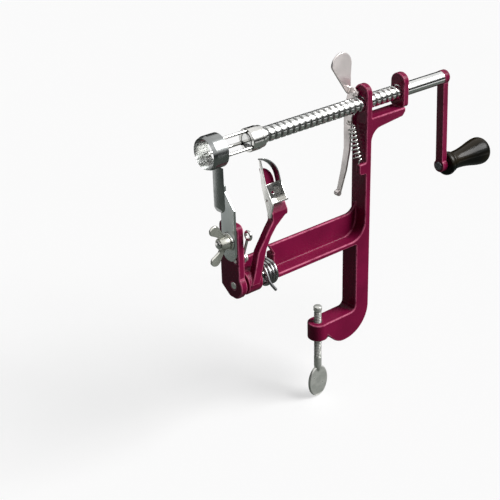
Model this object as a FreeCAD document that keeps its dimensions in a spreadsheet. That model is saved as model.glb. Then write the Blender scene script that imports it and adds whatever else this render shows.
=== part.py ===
import FreeCAD, Part
import math
import os
import re
import Sketcher
from FreeCAD import Placement, Rotation, Vector

# Hand cranked apple peeler that clamps to a table edge, in millimetres.
# Origin: the clamp screw's axis on the table seat. +X runs along the shaft to the crank,
# +Z is up and +Y points away from the user's side of the peeler.

SIZES = {
    "Shaft": {
        "shaft_height": 97.6,
        "shaft_radius": 5.0,
        "plain_radius": 4.65,
        "thread_left": 47.0,
        "thread_right": 74.0,
        "bore_gap": 0.06,
        "seat_gap": 0.1,
        "cut_margin": 1.0,
    },
    "Casting": {
        "frame_width": 14.0,
        "post_outer": 42.3,
        "post_thickness": 5.0,
        "spine_thickness": 12.8,
        "foot_setback": 38.0,
        "foot_thickness": 3.3,
        "foot_corner": 12.0,
        "throat_height": 51.5,
        "jaw_depth": 20.0,
        "jaw_corner": 22.0,
        "jaw_inner_corner": 4.0,
        "jaw_slope_start": 13.2,
        "jaw_heel_round": 14.0,
        "boss_radius": 7.2,
        "boss_height": 12.5,
        "web_back": 5.2,
        "web_thickness": 2.8,
        "web_height": 19.8,
        "web_undercut": 9.0,
        "web_corner": 8.5,
        "web_root_round": 1.5,
        "ear_thickness": 5.0,
        "ear_back": 5.5,
        "ear_rise": 13.2,
        "ear_round": 6.1,
        "ear_foot_round": 2.2,
        "ear_distance": 34.0,
        "bracket_drop": 9.6,
        "bracket_back": 5.0,
        "bracket_end_depth": 5.6,
        "bracket_root_depth": 8.6,
        "bracket_corner": 9.0,
        "rear_foot_front": 1.0,
        "rear_foot_width": 6.0,
        "rear_foot_start": 2.0,
        "rib_height": 14.5,
        "rib_stop_height": 18.4,
        "rib_stop_start": 12.0,
        "rib_stop_end": 25.0,
        "rib_end_height": 5.0,
        "pad_length": 5.0,
        "pad_width": 5.0,
        "pad_height": 12.0,
        "lug_reach": 6.0,
        "lug_width": 3.8,
        "lug_height": 8.0,
        "lug_drop": 39.6,
        "lug_round": 3.0,
        "upright_outer": 78.5,
        "upright_thickness": 5.0,
        "upright_height": 51.0,
        "upright_front": 14.0,
        "upright_back": 4.3,
        "upright_toe": 9.0,
        "upright_heel": 4.0,
        "upright_heel_rise": 6.0,
        "upright_corner": 4.0,
    },
    "Fork": {
        "hub_radius": 7.5,
        "hub_length": 7.9,
        "prong_circle": 6.0,
        "prong_radius": 1.0,
        "prong_length": 30.0,
        "prong_point": 5.0,
        "prong_seat": 6.0,
        "collar_radius": 7.0,
        "collar_length": 2.8,
    },
    "Crank": {
        "crank_left": 115.0,
        "crank_thickness": 5.0,
        "crank_seat_radius": 3.2,
        "crank_hub_radius": 4.9,
        "crank_hub_bevel": 0.8,
        "crank_throw": 65.0,
        "crank_lean": 2.6,
        "crank_end_radius": 4.7,
        "crank_bar_width": 6.4,
        "shaft_peen": 0.5,
    },
    "Handle": {
        "pin_radius": 2.5,
        "pin_head_radius": 3.4,
        "pin_head_length": 0.9,
        "pin_depth": 34.0,
        "pin_gap": 0.06,
        "grip_gap": 0.4,
        "flange_radius": 8.75,
        "flange_length": 7.0,
        "flange_step": 1.2,
        "neck_radius": 6.6,
        "neck_length": 6.0,
        "bulb_radius": 10.1,
        "bulb_place": 36.8,
        "bulb_end_round": 6.0,
        "flare_curve": 60.0,
    },
    "Release lever": {
        "strip_thickness": 1.5,
        "strip_gap": 1.2,
        "pivot_back": 3.0,
        "pivot_rise": 6.9,
        "lever_swing": 11.5,
        "eye_radius": 3.3,
        "rivet_radius": 1.5,
        "rivet_gap": 0.05,
        "rivet_head_radius": 2.2,
        "rivet_head_length": 1.1,
        "lever_fold_back": 8.7,
        "lever_shoulder_back": 12.2,
        "lever_shoulder_front": 4.7,
        "lever_shoulder_drop": 10.0,
        "lever_waist_back": 11.9,
        "lever_waist_front": 6.5,
        "lever_waist_drop": 33.6,
        "lever_knee_back": 14.6,
        "lever_knee_front": 9.7,
        "lever_knee_drop": 49.6,
        "lever_end_back": 18.6,
        "lever_end_front": 14.8,
        "lever_end_drop": 66.6,
        "curl_radius": 2.0,
        "hook_hole_radius": 1.0,
        "hook_hole_back": 7.4,
        "hook_hole_drop": 14.0,
        "thumb_radius": 8.6,
        "thumb_centre": 8.1,
        "thumb_rise": 20.0,
        "thumb_neck_width": 5.2,
    },
    "Lever spring": {
        "coil_wire": 1.1,
        "coil_radius": 2.5,
        "coil_turns": 8,
        "coil_pitch": 2.72,
        "coil_place": 4.9,
        "coil_top_back": 1.9,
        "coil_top_drop": 15.2,
        "coil_slope": 0.263,
    },
    "Slicer": {
        "plate_thickness": 1.5,
        "plate_front": 13.5,
        "plate_back": 0.5,
        "plate_bottom": 26.5,
        "plate_shoulder": 62.0,
        "plate_top": 72.0,
        "plate_neck": 4.0,
        "plate_round": 5.8,
        "bolt_forward": 7.0,
        "bolt_height": 40.0,
        "bolt_radius": 2.4,
        "bolt_gap": 0.1,
        "bolt_head_radius": 4.0,
        "bolt_head_length": 2.2,
        "bolt_reach": 10.3,
        "slot_travel": 1.5,
        "cutter_thickness": 0.8,
        "cutter_width": 10.0,
        "cutter_round": 3.0,
        "cutter_reach": 40.0,
        "ring_bore": 9.6,
        "ring_wall": 0.9,
        "ring_length": 11.0,
        "washer_radius": 6.0,
        "washer_thickness": 1.2,
        "nut_hub_radius": 4.6,
        "nut_hub_end_radius": 3.7,
        "nut_hub_length": 6.0,
        "wing_span": 13.4,
        "wing_thickness": 2.0,
        "wing_flare": 12.8,
        "wing_root": 3.4,
        "wing_waist": 7.4,
        "wing_inset": 1.0,
        "wing_bevel": 2.6,
    },
    "Peeling arm": {
        "arm_axis_front": 8.0,
        "arm_axis_height": 8.8,
        "arm_boss_radius": 8.3,
        "arm_boss_gap": 1.5,
        "arm_boss_length": 11.0,
        "arm_pin_radius": 2.4,
        "arm_pin_reach": 27.0,
        "arm_front": 12.5,
        "arm_thickness": 5.5,
        "arm_foot_front": 17.0,
        "arm_slope_rise": 5.2,
        "arm_shoulder_rise": 9.2,
        "arm_low_left": 1.2,
        "arm_foot_right": 7.8,
        "arm_low_right": 11.0,
        "arm_mid_left": 9.2,
        "arm_mid_right": 15.6,
        "arm_mid_drop": 68.6,
        "arm_neck_right": 20.4,
        "arm_neck_drop": 61.6,
        "arm_high_left": 19.2,
        "arm_high_right": 25.2,
        "arm_high_drop": 56.6,
        "arm_flare": 1.5,
        "arm_top_drop": 52.6,
        "head_left": 23.0,
        "head_right": 35.5,
        "head_bottom_drop": 50.6,
        "head_lip_round": 1.0,
        "head_lip_drop": 47.6,
        "head_top_drop": 42.6,
        "clip_radius": 4.6,
        "clip_thickness": 1.0,
    },
    "Arm spring": {
        "spring_wire": 2.0,
        "spring_radius": 7.3,
        "spring_turns": 3,
        "spring_pitch": 2.6,
        "spring_right": 23.7,
        "spring_leg_angle": 152.0,
        "spring_leg_knee": 5.0,
        "spring_leg_drift": 2.6,
        "spring_leg_end": 1.7,
    },
    "Peeling head": {
        "holder_thickness": 1.0,
        "holder_lean": 18.0,
        "holder_left": 21.5,
        "holder_width": 13.0,
        "holder_forward": 7.6,
        "holder_rise": 12.0,
        "holder_top": 28.6,
        "holder_drop": 8.7,
        "holder_foot_depth": 7.0,
        "holder_flange": 4.2,
        "holder_tip": 3.6,
        "holder_hole_radius": 0.9,
        "holder_hole_place": 7.0,
        "holder_hole_rise": 6.4,
        "holder_rivet_radius": 0.8,
        "blade_radius": 12.9,
        "blade_thickness": 0.9,
        "blade_width": 4.9,
        "blade_left": 1.4,
        "blade_rise": 16.7,
        "blade_foot": 9.0,
        "blade_sweep": 78.0,
        "guard_radius": 8.7,
        "guard_right": 10.7,
        "guard_rise": 14.2,
        "guard_thickness": 1.0,
    },
    "Arm latch": {
        "latch_wire": 0.9,
        "latch_ring": 2.6,
        "latch_eye": 2.5,
        "latch_gap": 0.3,
        "latch_front": 10.5,
        "latch_height": 27.0,
        "latch_length": 18.8,
        "latch_tilt": 19.5,
    },
    "Clamp screw": {
        "screw_radius": 2.7,
        "screw_tip": 39.3,
        "tip_radius": 2.95,
        "tip_length": 3.4,
        "tip_socket": 1.8,
        "tip_gap": 0.06,
        "screw_neck": 88.0,
        "thumb_plate_thickness": 2.5,
        "thumb_plate_width": 17.0,
        "thumb_plate_middle": 100.3,
        "thumb_plate_bottom": 112.7,
        "thumb_plate_shoulder": 14.0,
        "thumb_plate_round": 11.5,
    },
}

doc = FreeCAD.newDocument("ApplePeeler")
size = doc.addObject("Spreadsheet::Sheet", "Size")
row = 0
for heading, values in SIZES.items():
    row += 1
    size.set(f"A{row}", heading)
    for alias, value in values.items():
        row += 1
        size.set(f"A{row}", alias)
        size.set(f"B{row}", str(value))
        size.setAlias(f"B{row}", alias)
doc.recompute()

pieces = []


def bound(text):
    """Expression for setExpression from text written in bare size names."""
    return re.sub(r"[a-z]+(?:_[a-z]+)+", r"Size.\g<0>", str(text))


def number(text):
    """Value that an expression of sizes has now."""
    return float(size.evalExpression(str(text)))


def keep(piece, label):
    """Names a finished sub-part and puts it on the list to be written."""
    piece.Label = label
    pieces.append(piece)
    return piece


def below_shaft(drop):
    """Height this far below the shaft's axis, as an expression of sizes."""
    return f"(shaft_height - {drop})"


def from_boss(distance):
    """Place this far to the right of the arm boss's left face, as an expression of sizes."""
    return f"(-upright_outer + upright_thickness + arm_boss_gap + {distance})"


FOOT_END = "(foot_setback - upright_outer)"
WEB_END = "(foot_setback - upright_outer + web_undercut)"


def place(piece, x="0", y="0", z="0", turn=None):
    """Binds a sub-part's position to sizes, after an optional fixed rotation."""
    if turn:
        piece.Placement = Placement(Vector(), turn)
    for axis, text in zip("xyz", (x, y, z)):
        piece.setExpression(f"Placement.Base.{axis}", bound(text))
    return piece


# Sketches and features


def new_body(label):
    """Empty body that becomes the named sub-part."""
    body = doc.addObject("PartDesign::Body", label.title().replace("_", ""))
    return keep(body, label)


def new_sketch(body, name, plane, offset):
    """Sketch on one of the body's own origin planes, moved along its normal."""
    sketch = body.newObject("Sketcher::SketchObject", name)
    support = [datum for datum in body.Origin.OriginFeatures if datum.Role == f"{plane}_Plane"]
    sketch.AttachmentSupport = (support[0], "")
    sketch.MapMode = "FlatFace"
    sketch.setExpression("AttachmentOffset.Base.z", bound(offset))
    return sketch


def pin_point(sketch, edge, end, u, v):
    """Fixes a point of the sketch at a pair of size expressions."""
    for kind, text in (("DistanceX", u), ("DistanceY", v)):
        index = sketch.addConstraint(Sketcher.Constraint(kind, -1, 1, edge, end, number(text)))
        sketch.setExpression(f"Constraints[{index}]", bound(text))


def arc_between(start, end, radius, turn):
    """Arc of less than half a turn; turn is +1 for counter-clockwise."""
    chord = end - start
    across = Vector(-chord.y, chord.x, 0).normalize()
    depth = math.sqrt(max(radius ** 2 - (chord.Length / 2) ** 2, 0))
    centre = (start + end) / 2 + across * depth * turn
    first, last = (start, end) if turn > 0 else (end, start)
    angles = [math.atan2(point.y - centre.y, point.x - centre.x) for point in (first, last)]
    if angles[1] < angles[0]:
        angles[1] += 2 * math.pi
    return Part.ArcOfCircle(Part.Circle(centre, Vector(0, 0, 1), radius), *angles)


def draw_outline(sketch, corners):
    """Closed outline; a corner (u, v, radius, turn) starts an arc, (u, v) a line."""
    points = [Vector(number(corner[0]), number(corner[1]), 0) for corner in corners]
    starts = []
    for index, corner in enumerate(corners):
        here, following = points[index], points[(index + 1) % len(points)]
        if len(corner) == 2:
            edge = sketch.addGeometry(Part.LineSegment(here, following), False)
            starts.append((edge, 1, 2))
            continue
        radius, turn = corner[2:]
        edge = sketch.addGeometry(arc_between(here, following, number(radius), turn), False)
        starts.append((edge, 1, 2) if turn > 0 else (edge, 2, 1))
    for index, (edge, _, end) in enumerate(starts):
        other, start, _ = starts[(index + 1) % len(starts)]
        sketch.addConstraint(Sketcher.Constraint("Coincident", edge, end, other, start))
    for (edge, start, _), corner in zip(starts, corners):
        pin_point(sketch, edge, start, corner[0], corner[1])
        if len(corner) > 2:
            index = sketch.addConstraint(Sketcher.Constraint("Radius", edge, number(corner[2])))
            sketch.setExpression(f"Constraints[{index}]", bound(corner[2]))


def draw_circle(sketch, u, v, radius):
    """Circle whose centre and radius are size expressions."""
    circle = Part.Circle(Vector(number(u), number(v), 0), Vector(0, 0, 1), number(radius))
    edge = sketch.addGeometry(circle, False)
    pin_point(sketch, edge, 3, u, v)
    index = sketch.addConstraint(Sketcher.Constraint("Radius", edge, number(radius)))
    sketch.setExpression(f"Constraints[{index}]", bound(radius))


def draw(sketch, outline):
    """Draws a circle from (u, v, radius), or an outline from a list of corners."""
    if isinstance(outline, tuple):
        draw_circle(sketch, *outline)
    else:
        draw_outline(sketch, outline)


def pad(body, name, plane, outline, low, high):
    """Solid with this outline between two places along the plane's normal axis."""
    offset = f"-({high})" if plane == "XZ" else low
    sketch = new_sketch(body, name + "Sketch", plane, offset)
    draw(sketch, outline)
    feature = body.newObject("PartDesign::Pad", name)
    feature.Profile = sketch
    feature.setExpression("Length", bound(f"({high}) - ({low})"))
    doc.recompute()
    return feature


def pocket(body, name, plane, outline, low, high):
    """Cut with this outline between two places along the plane's normal axis."""
    before = body.Shape.Volume
    offset = f"-({low})" if plane == "XZ" else high
    sketch = new_sketch(body, name + "Sketch", plane, offset)
    draw(sketch, outline)
    feature = body.newObject("PartDesign::Pocket", name)
    feature.Profile = sketch
    feature.setExpression("Length", bound(f"({high}) - ({low})"))
    doc.recompute()
    if body.Shape.Volume > before - 0.01:
        raise RuntimeError(f"{name} cuts nothing")
    return feature


def through(body, name, plane, outline, low, high):
    """Cut that runs a margin past both of these places."""
    return pocket(body, name, plane, outline, f"{low} - cut_margin", f"{high} + cut_margin")


def turned(body, name, corners):
    """Solid of revolution about the body's X axis, from a profile of (x, radius)."""
    sketch = new_sketch(body, name + "Sketch", "XY", "0")
    draw(sketch, corners)
    feature = body.newObject("PartDesign::Revolution", name)
    feature.Profile = sketch
    feature.ReferenceAxis = (sketch, ["H_Axis"])
    feature.Angle = 360
    doc.recompute()
    return feature


def round_edges(body, name, plane, points, radius):
    """Rounds the straight edges that stand on the given points of the plane."""
    normal = {"XY": Vector(0, 0, 1), "XZ": Vector(0, 1, 0), "YZ": Vector(1, 0, 0)}[plane]
    places = [Vector(number(u), number(v), 0) for u, v in points]
    flat = {"XY": lambda p: Vector(p.x, p.y, 0), "XZ": lambda p: Vector(p.x, p.z, 0),
            "YZ": lambda p: Vector(p.y, p.z, 0)}[plane]
    names = []
    base = body.Tip
    for index, edge in enumerate(base.Shape.Edges):
        if edge.Curve.TypeId != "Part::GeomLine" or len(edge.Vertexes) < 2:
            continue
        along = edge.Vertexes[1].Point - edge.Vertexes[0].Point
        if along.cross(normal).Length > 1e-4 * along.Length:
            continue
        foot = flat(edge.Vertexes[0].Point)
        if any((foot - spot).Length < 0.01 for spot in places):
            names.append(f"Edge{index + 1}")
    feature = body.newObject("PartDesign::Fillet", name)
    feature.Base = (base, names)
    feature.setExpression("Radius", bound(radius))
    doc.recompute()
    return feature


# Primitives and booleans


TURNS = {
    "X": Rotation(Vector(0, 0, 1), Vector(1, 0, 0)),
    "Y": Rotation(Vector(0, 0, 1), Vector(0, 1, 0)),
    "Z": Rotation(),
}


def cylinder(radius, length, x, y, z, axis="X"):
    """Cylinder whose first end face is centred at the given place."""
    rod = doc.addObject("Part::Cylinder", "Rod")
    rod.setExpression("Radius", bound(radius))
    rod.setExpression("Height", bound(length))
    return place(rod, x, y, z, TURNS[axis])


def cone(first, second, length, x, y, z, axis="X"):
    """Cone from the first radius to the second along the axis."""
    taper = doc.addObject("Part::Cone", "Taper")
    taper.setExpression("Radius1", bound(first))
    taper.setExpression("Radius2", bound(second))
    taper.setExpression("Height", bound(length))
    return place(taper, x, y, z, TURNS[axis])


def joined(*shapes):
    """One solid from shapes that overlap or share faces."""
    union = doc.addObject("Part::MultiFuse", "Union")
    union.Shapes = list(shapes)
    union.Refine = True
    return union


def cut(base, *tools):
    """The base with the tools taken out of it."""
    rest = doc.addObject("Part::Cut", "Rest")
    rest.Base = base
    rest.Tool = tools[0] if len(tools) == 1 else joined(*tools)
    return rest


def ring(label, outer, inner, length, x, y, z, axis="X"):
    """Plain ring, kept as a sub-part, whose first end face is centred at the given place."""
    ahead = {"X": (f"{x} - cut_margin", y, z), "Z": (x, y, f"{z} - cut_margin")}[axis]
    bore = cylinder(inner, f"{length} + 2 * cut_margin", *ahead, axis)
    return keep(cut(cylinder(outer, length, x, y, z, axis), bore), label)


# Wire forms


def biarc(start, start_way, end, end_way):
    """Two arcs that join two points and leave them along the given directions."""
    chord = end - start
    both = start_way + end_way
    spread = 2 * (start_way.dot(end_way) - 1)
    linear = -2 * chord.dot(both)
    if abs(spread) < 1e-9:
        reach = -chord.dot(chord) / linear
    else:
        root = math.sqrt(linear ** 2 - 4 * spread * chord.dot(chord))
        reach = (-linear - root) / (2 * spread)
    first = start + start_way * reach
    second = end - end_way * reach
    middle = (first + second) / 2
    return [tangent_arc(start, first, middle), tangent_arc(middle, second, end)]


def tangent_arc(start, corner, end):
    """Arc that touches both sides of an even-sided corner."""
    centre = (start + end) / 2
    rise = (corner - centre).Length
    if rise < 1e-6:
        return Part.LineSegment(start, end).toShape()
    half = (end - start).Length / 2
    bend = math.atan2(rise, half)
    via = centre + (corner - centre).normalize() * half * math.tan(bend / 2)
    return Part.Arc(start, via, end).toShape()


def wire_path(stations):
    """Smooth wire through (point, direction) stations; straight where they line up."""
    edges = []
    for (start, start_way), (end, end_way) in zip(stations, stations[1:]):
        chord = (end - start).normalize()
        if chord.dot(start_way) > 1 - 1e-9 and chord.dot(end_way) > 1 - 1e-9:
            edges.append(Part.LineSegment(start, end).toShape())
        else:
            edges.extend(biarc(start, start_way, end, end_way))
    return Part.Wire(edges)


def wire_tube(label, stations, diameter):
    """Unbroken tube along the stations, kept as a sub-part; prints its least gap."""
    path = wire_path(stations)
    start, way = stations[0]
    ring = Part.Wire(Part.Circle(start, way, diameter / 2).toShape())
    tube = doc.addObject("Part::Feature", label.title().replace("_", ""))
    tube.Shape = path.makePipeShell([ring], True, False)
    print(f"{label}: least gap {least_gap(path, diameter):.2f} mm, least bend {least_bend(path):.2f} mm")
    return keep(tube, label)


def least_gap(path, diameter):
    """Least clear distance between stretches of a wire that lie apart along it."""
    step = diameter / 3
    points = path.discretize(Distance=step)
    apart = int(math.pi * diameter * 1.5 / step)
    near = min(point.distanceToPoint(other) for index, point in enumerate(points)
               for other in points[index + apart:])
    return near - diameter


def least_bend(path):
    """Smallest radius of the path's arcs."""
    return min(edge.Curve.Radius for edge in path.Edges if hasattr(edge.Curve, "Radius"))


def helix_stations(centre, axis, across, radius, pitch, turns, start_angle, hand):
    """Quarter-turn stations of a helix about an axis, starting at an angle from across."""
    side = axis.cross(across)
    slope = pitch / (2 * math.pi)
    stations = []
    for step in range(int(round(turns * 4)) + 1):
        angle = start_angle + hand * step * math.pi / 2
        out = across * math.cos(angle) + side * math.sin(angle)
        round_way = (side * math.cos(angle) - across * math.sin(angle)) * hand
        point = centre + out * radius + axis * pitch * step / 4
        way = (round_way * radius + axis * slope).normalize()
        stations.append((point, way))
    return stations


# Clamp frame: one casting with foot, web, post, ears, clamp jaw and upright


def build_clamp_frame():
    """Whole casting, from the foot and the clamp to the upright."""
    body = new_body("clamp_frame")
    half = "frame_width / 2"
    inner = "(post_outer - post_thickness)"
    throat = "(post_outer - spine_thickness)"
    jaw_bottom = "-(throat_height + jaw_depth)"
    bracket_top = "(shaft_height - bracket_drop)"
    pad(body, "Clamp", "XZ", [
        (FOOT_END, "0"), (throat, "0"), (throat, "-throat_height"), ("0", "-throat_height"),
        ("0", "-throat_height - boss_height / 2"), ("jaw_slope_start", jaw_bottom),
        ("post_outer", jaw_bottom), ("post_outer", bracket_top), (inner, bracket_top),
        (inner, "foot_thickness"), (FOOT_END, "foot_thickness")], f"-{half}", half)
    round_edges(body, "JawCorner", "XZ", [("post_outer", jaw_bottom)], "jaw_corner")
    round_edges(body, "JawHeel", "XZ", [("jaw_slope_start", jaw_bottom)], "jaw_heel_round")
    round_edges(body, "ThroatCorner", "XZ", [(throat, "-throat_height")], "jaw_inner_corner")
    round_edges(body, "FootCorner", "XZ", [(inner, "foot_thickness")], "foot_corner")
    pad(body, "Boss", "XY", ("0", "0", "boss_radius"), "-throat_height - boss_height",
        "-throat_height")
    build_web(body, inner)
    build_ears(body, inner, bracket_top)
    build_upright(body)
    build_lugs(body, inner)
    drill_frame(body, inner)
    return body


def build_web(body, inner):
    """Upright web of the beam, the low rib beyond it and the narrow rear foot."""
    front = "web_back - web_thickness"
    in_foot = "foot_thickness / 2"
    in_post = "(post_outer - post_thickness / 2)"
    pad(body, "Web", "XZ", [
        (WEB_END, in_foot), (in_post, in_foot), (in_post, "web_height + web_corner"),
        (inner, "web_height + web_corner"), (inner, "web_height"), (FOOT_END, "web_height"),
        (WEB_END, "rib_end_height")], front, "web_back")
    round_edges(body, "WebCorner", "XZ", [(inner, "web_height")], "web_corner")
    in_web = "web_back - web_thickness / 2"
    pad(body, "WebRoot", "YZ", [
        (f"{front} - web_root_round", in_foot),
        (f"{front} - web_root_round", "foot_thickness", "web_root_round", 1),
        (front, "foot_thickness + web_root_round"), (in_web, "foot_thickness + web_root_round"),
        (in_web, in_foot)], FOOT_END, inner)
    in_upright = "-upright_outer + upright_thickness / 2"
    stop_left, stop_right = from_boss("rib_stop_start"), from_boss("rib_stop_end")
    pad(body, "Rib", "XZ", [
        (in_upright, in_foot), (WEB_END, in_foot), (WEB_END, "rib_end_height"),
        (f"{stop_right} + web_thickness", "rib_end_height"), (stop_right, "rib_stop_height"),
        (stop_left, "rib_stop_height"), (stop_left, "rib_height"), (in_upright, "rib_height")],
        front, "web_back")
    foot_left, foot_back = from_boss("rear_foot_start"), "rear_foot_front + rear_foot_width"
    foot_right = f"{FOOT_END} + cut_margin"
    pad(body, "RearFoot", "XY", [
        (foot_left, "rear_foot_front"), (foot_right, "rear_foot_front"), (foot_right, foot_back),
        (foot_left, foot_back)], "0", "foot_thickness")


def build_ears(body, inner, bracket_top):
    """Two ears that carry the shaft, and the bracket that holds the rear one."""
    half = "frame_width / 2"
    top = "shaft_height + ear_rise"
    rear_right = "(post_outer + ear_distance)"
    outline = [(f"-{half}", bracket_top), ("ear_back", bracket_top), ("ear_back", top),
               (f"-{half}", top)]
    front_outline = [(f"-{half}", "web_height + web_corner"), (half, "web_height + web_corner"),
                     (half, f"{bracket_top} - ear_back"), ("ear_back", bracket_top),
                     ("ear_back", top), (f"-{half}", top)]
    pad(body, "RearEar", "YZ", outline, f"{rear_right} - ear_thickness", rear_right)
    round_edges(body, "RearEarTop", "YZ", [("ear_back", top), (f"-{half}", top)], "ear_round")
    round_edges(body, "RearEarFoot", "YZ",
                [("ear_back", bracket_top), (f"-{half}", bracket_top)], "ear_foot_round")
    pad(body, "FrontEar", "YZ", front_outline, inner, "post_outer")
    round_edges(body, "FrontEarTop", "YZ", [("ear_back", top), (f"-{half}", top)], "ear_round")
    end = f"{rear_right} - ear_thickness / 2"
    in_post = "post_outer - post_thickness / 2"
    root = f"{bracket_top} - bracket_root_depth"
    pad(body, "Bracket", "XZ", [
        (in_post, bracket_top), (end, bracket_top),
        (end, f"{bracket_top} - bracket_end_depth / 2"),
        (f"{rear_right} - ear_thickness", f"{bracket_top} - bracket_end_depth"),
        ("post_outer", root), ("post_outer", f"{root} - 2 * bracket_corner"),
        (in_post, f"{root} - 2 * bracket_corner")],
        f"-{half}", "bracket_back")
    round_edges(body, "BracketCorner", "XZ", [("post_outer", root)], "bracket_corner")


def build_upright(body):
    """Plate at the beam's end that carries the slicer and the peeling arm."""
    toe = "-(upright_toe + upright_corner / 4)"
    pad(body, "Upright", "YZ", [
        ("-upright_front", "upright_corner / 2"), (toe, "0"), ("-upright_heel", "0"),
        ("upright_back", "upright_heel_rise"), ("upright_back", "upright_height"),
        ("-upright_front", "upright_height")], "-upright_outer", "-upright_outer + upright_thickness")
    round_edges(body, "UprightTop", "YZ", [
        ("upright_back", "upright_height"), ("-upright_front", "upright_height")], "upright_corner")
    round_edges(body, "UprightToe", "YZ", [
        ("-upright_front", "upright_corner / 2"), (toe, "0"), ("-upright_heel", "0")],
        "upright_corner")
    pad(body, "PinBoss", "YZ", ("-arm_axis_front", "arm_axis_height", "arm_boss_radius"),
        "-upright_outer", "-upright_outer + upright_thickness")


def build_lugs(body, inner):
    """Pad behind the web's end and the lug that holds the lever spring."""
    in_foot = "foot_thickness / 2"
    pad_left, pad_right = f"{WEB_END} - pad_length", f"{WEB_END} + cut_margin"
    pad(body, "EndPad", "XZ", [
        (pad_left, in_foot), (pad_right, in_foot), (pad_right, "pad_height"), (pad_left, "pad_height")],
        "web_back - web_thickness", "web_back + pad_width")
    front, back = "-frame_width / 2", "-frame_width / 2 + lug_width"
    top = below_shaft("lug_drop")
    bottom = f"{top} - lug_height"
    left = f"{inner} - lug_reach"
    pad(body, "SpringLug", "YZ", [(front, bottom), (back, bottom), (back, top), (front, top)],
        left, f"{inner} + post_thickness / 2")
    round_edges(body, "LugEnd", "XZ", [(left, bottom)], "lug_round")


def drill_frame(body, inner):
    """Bores for the shaft, the lever rivet, the clamp screw, the slicer bolt and the arm pin."""
    rear_right = "(post_outer + ear_distance)"
    shaft_bore = ("0", "shaft_height", "shaft_radius + bore_gap")
    through(body, "FrontBore", "YZ", shaft_bore, inner, "post_outer")
    through(body, "RearBore", "YZ", shaft_bore, f"{rear_right} - ear_thickness", rear_right)
    through(body, "RivetHole", "YZ", ("pivot_back", "shaft_height + pivot_rise", "rivet_radius"),
            inner, "post_outer")
    through(body, "ScrewBore", "XY", ("0", "0", "screw_radius + bore_gap"),
            "-throat_height - boss_height", "-throat_height")
    left, right = "-upright_outer", "-upright_outer + upright_thickness"
    through(body, "BoltHole", "YZ", ("-bolt_forward", "bolt_height", "bolt_radius"), left, right)
    through(body, "ArmPinHole", "YZ", ("-arm_axis_front", "arm_axis_height", "arm_pin_radius"),
            left, right)
    through(body, "LatchHole", "YZ", ("-latch_front", "latch_height", "rivet_radius"), left, right)


# Shaft, fork and collar


def build_shaft():
    """Threaded shaft at its thread's full diameter, with plain seats for fork and crank."""
    body = new_body("crank_shaft")
    crank_right = "crank_left + crank_thickness"
    turned(body, "Shaft", [
        ("-thread_left - collar_length - 2 * seat_gap - hub_length", "0"),
        (f"{crank_right} + shaft_peen", "0"),
        (f"{crank_right} + shaft_peen", "crank_seat_radius - shaft_peen"),
        (crank_right, "crank_seat_radius"), ("crank_left", "crank_seat_radius"),
        ("crank_left", "plain_radius"), ("thread_right", "plain_radius"),
        ("thread_right", "shaft_radius"), ("-thread_left", "shaft_radius"),
        ("-thread_left", "plain_radius"),
        ("-thread_left - collar_length - 2 * seat_gap - hub_length", "plain_radius")])
    place(body, z="shaft_height")


def build_fork():
    """Hub with three prongs that hold the apple, and the collar behind it."""
    hub_right = "-thread_left - collar_length - 2 * seat_gap"
    body = new_body("fork_hub")
    pad(body, "Hub", "YZ", ("0", "0", "hub_radius"), "-hub_length", "0")
    through(body, "ShaftSeat", "YZ", ("0", "0", "plain_radius"), "-hub_length", "0")
    for index in range(3):
        angle = f"{90 + 120 * index}"
        pocket(body, f"ProngSeat{index + 1}", "YZ",
               (f"prong_circle * cos({angle})", f"prong_circle * sin({angle})", "prong_radius"),
               "-hub_length - cut_margin", "-hub_length + prong_seat")
    place(body, x=hub_right, z="shaft_height")
    for index in range(3):
        angle = f"{90 + 120 * index}"
        y = f"prong_circle * cos({angle})"
        z = f"shaft_height + prong_circle * sin({angle})"
        seat = f"{hub_right} - hub_length + prong_seat"
        rod = cylinder("prong_radius", "prong_length + prong_seat - prong_point",
                       f"{seat} - prong_seat - prong_length + prong_point", y, z)
        point = cone("prong_radius / 5", "prong_radius", "prong_point",
                     f"{seat} - prong_seat - prong_length", y, z)
        keep(joined(rod, point), f"fork_prong_{index + 1}")
    ring("fork_collar", "collar_radius", "plain_radius + bore_gap", "collar_length",
         "-thread_left - collar_length - seat_gap", "0", "shaft_height")


# Crank and handle


def build_crank():
    """Flat cast arm with a hub on the shaft and an eye for the handle pin."""
    body = new_body("crank_arm")
    turned(body, "Hub", [
        ("0", "crank_seat_radius"), ("crank_thickness", "crank_seat_radius"),
        ("crank_thickness", "crank_hub_radius - crank_hub_bevel / 2"),
        ("crank_thickness - crank_hub_bevel", "crank_hub_radius"), ("0", "crank_hub_radius")])
    half = "crank_bar_width / 2"
    pad(body, "Bar", "YZ", [
        (f"-crank_lean - {half}", "-crank_throw"), (f"-crank_lean + {half}", "-crank_throw"),
        (half, "0"), (f"-{half}", "0")], "0", "crank_thickness")
    pad(body, "Eye", "YZ", ("-crank_lean", "-crank_throw", "crank_end_radius"), "0",
        "crank_thickness")
    through(body, "ShaftHole", "YZ", ("0", "0", "crank_seat_radius"), "0", "crank_thickness")
    through(body, "PinHole", "YZ", ("-crank_lean", "-crank_throw", "pin_radius"), "0",
            "crank_thickness")
    place(body, "crank_left", "0", "shaft_height")


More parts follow.
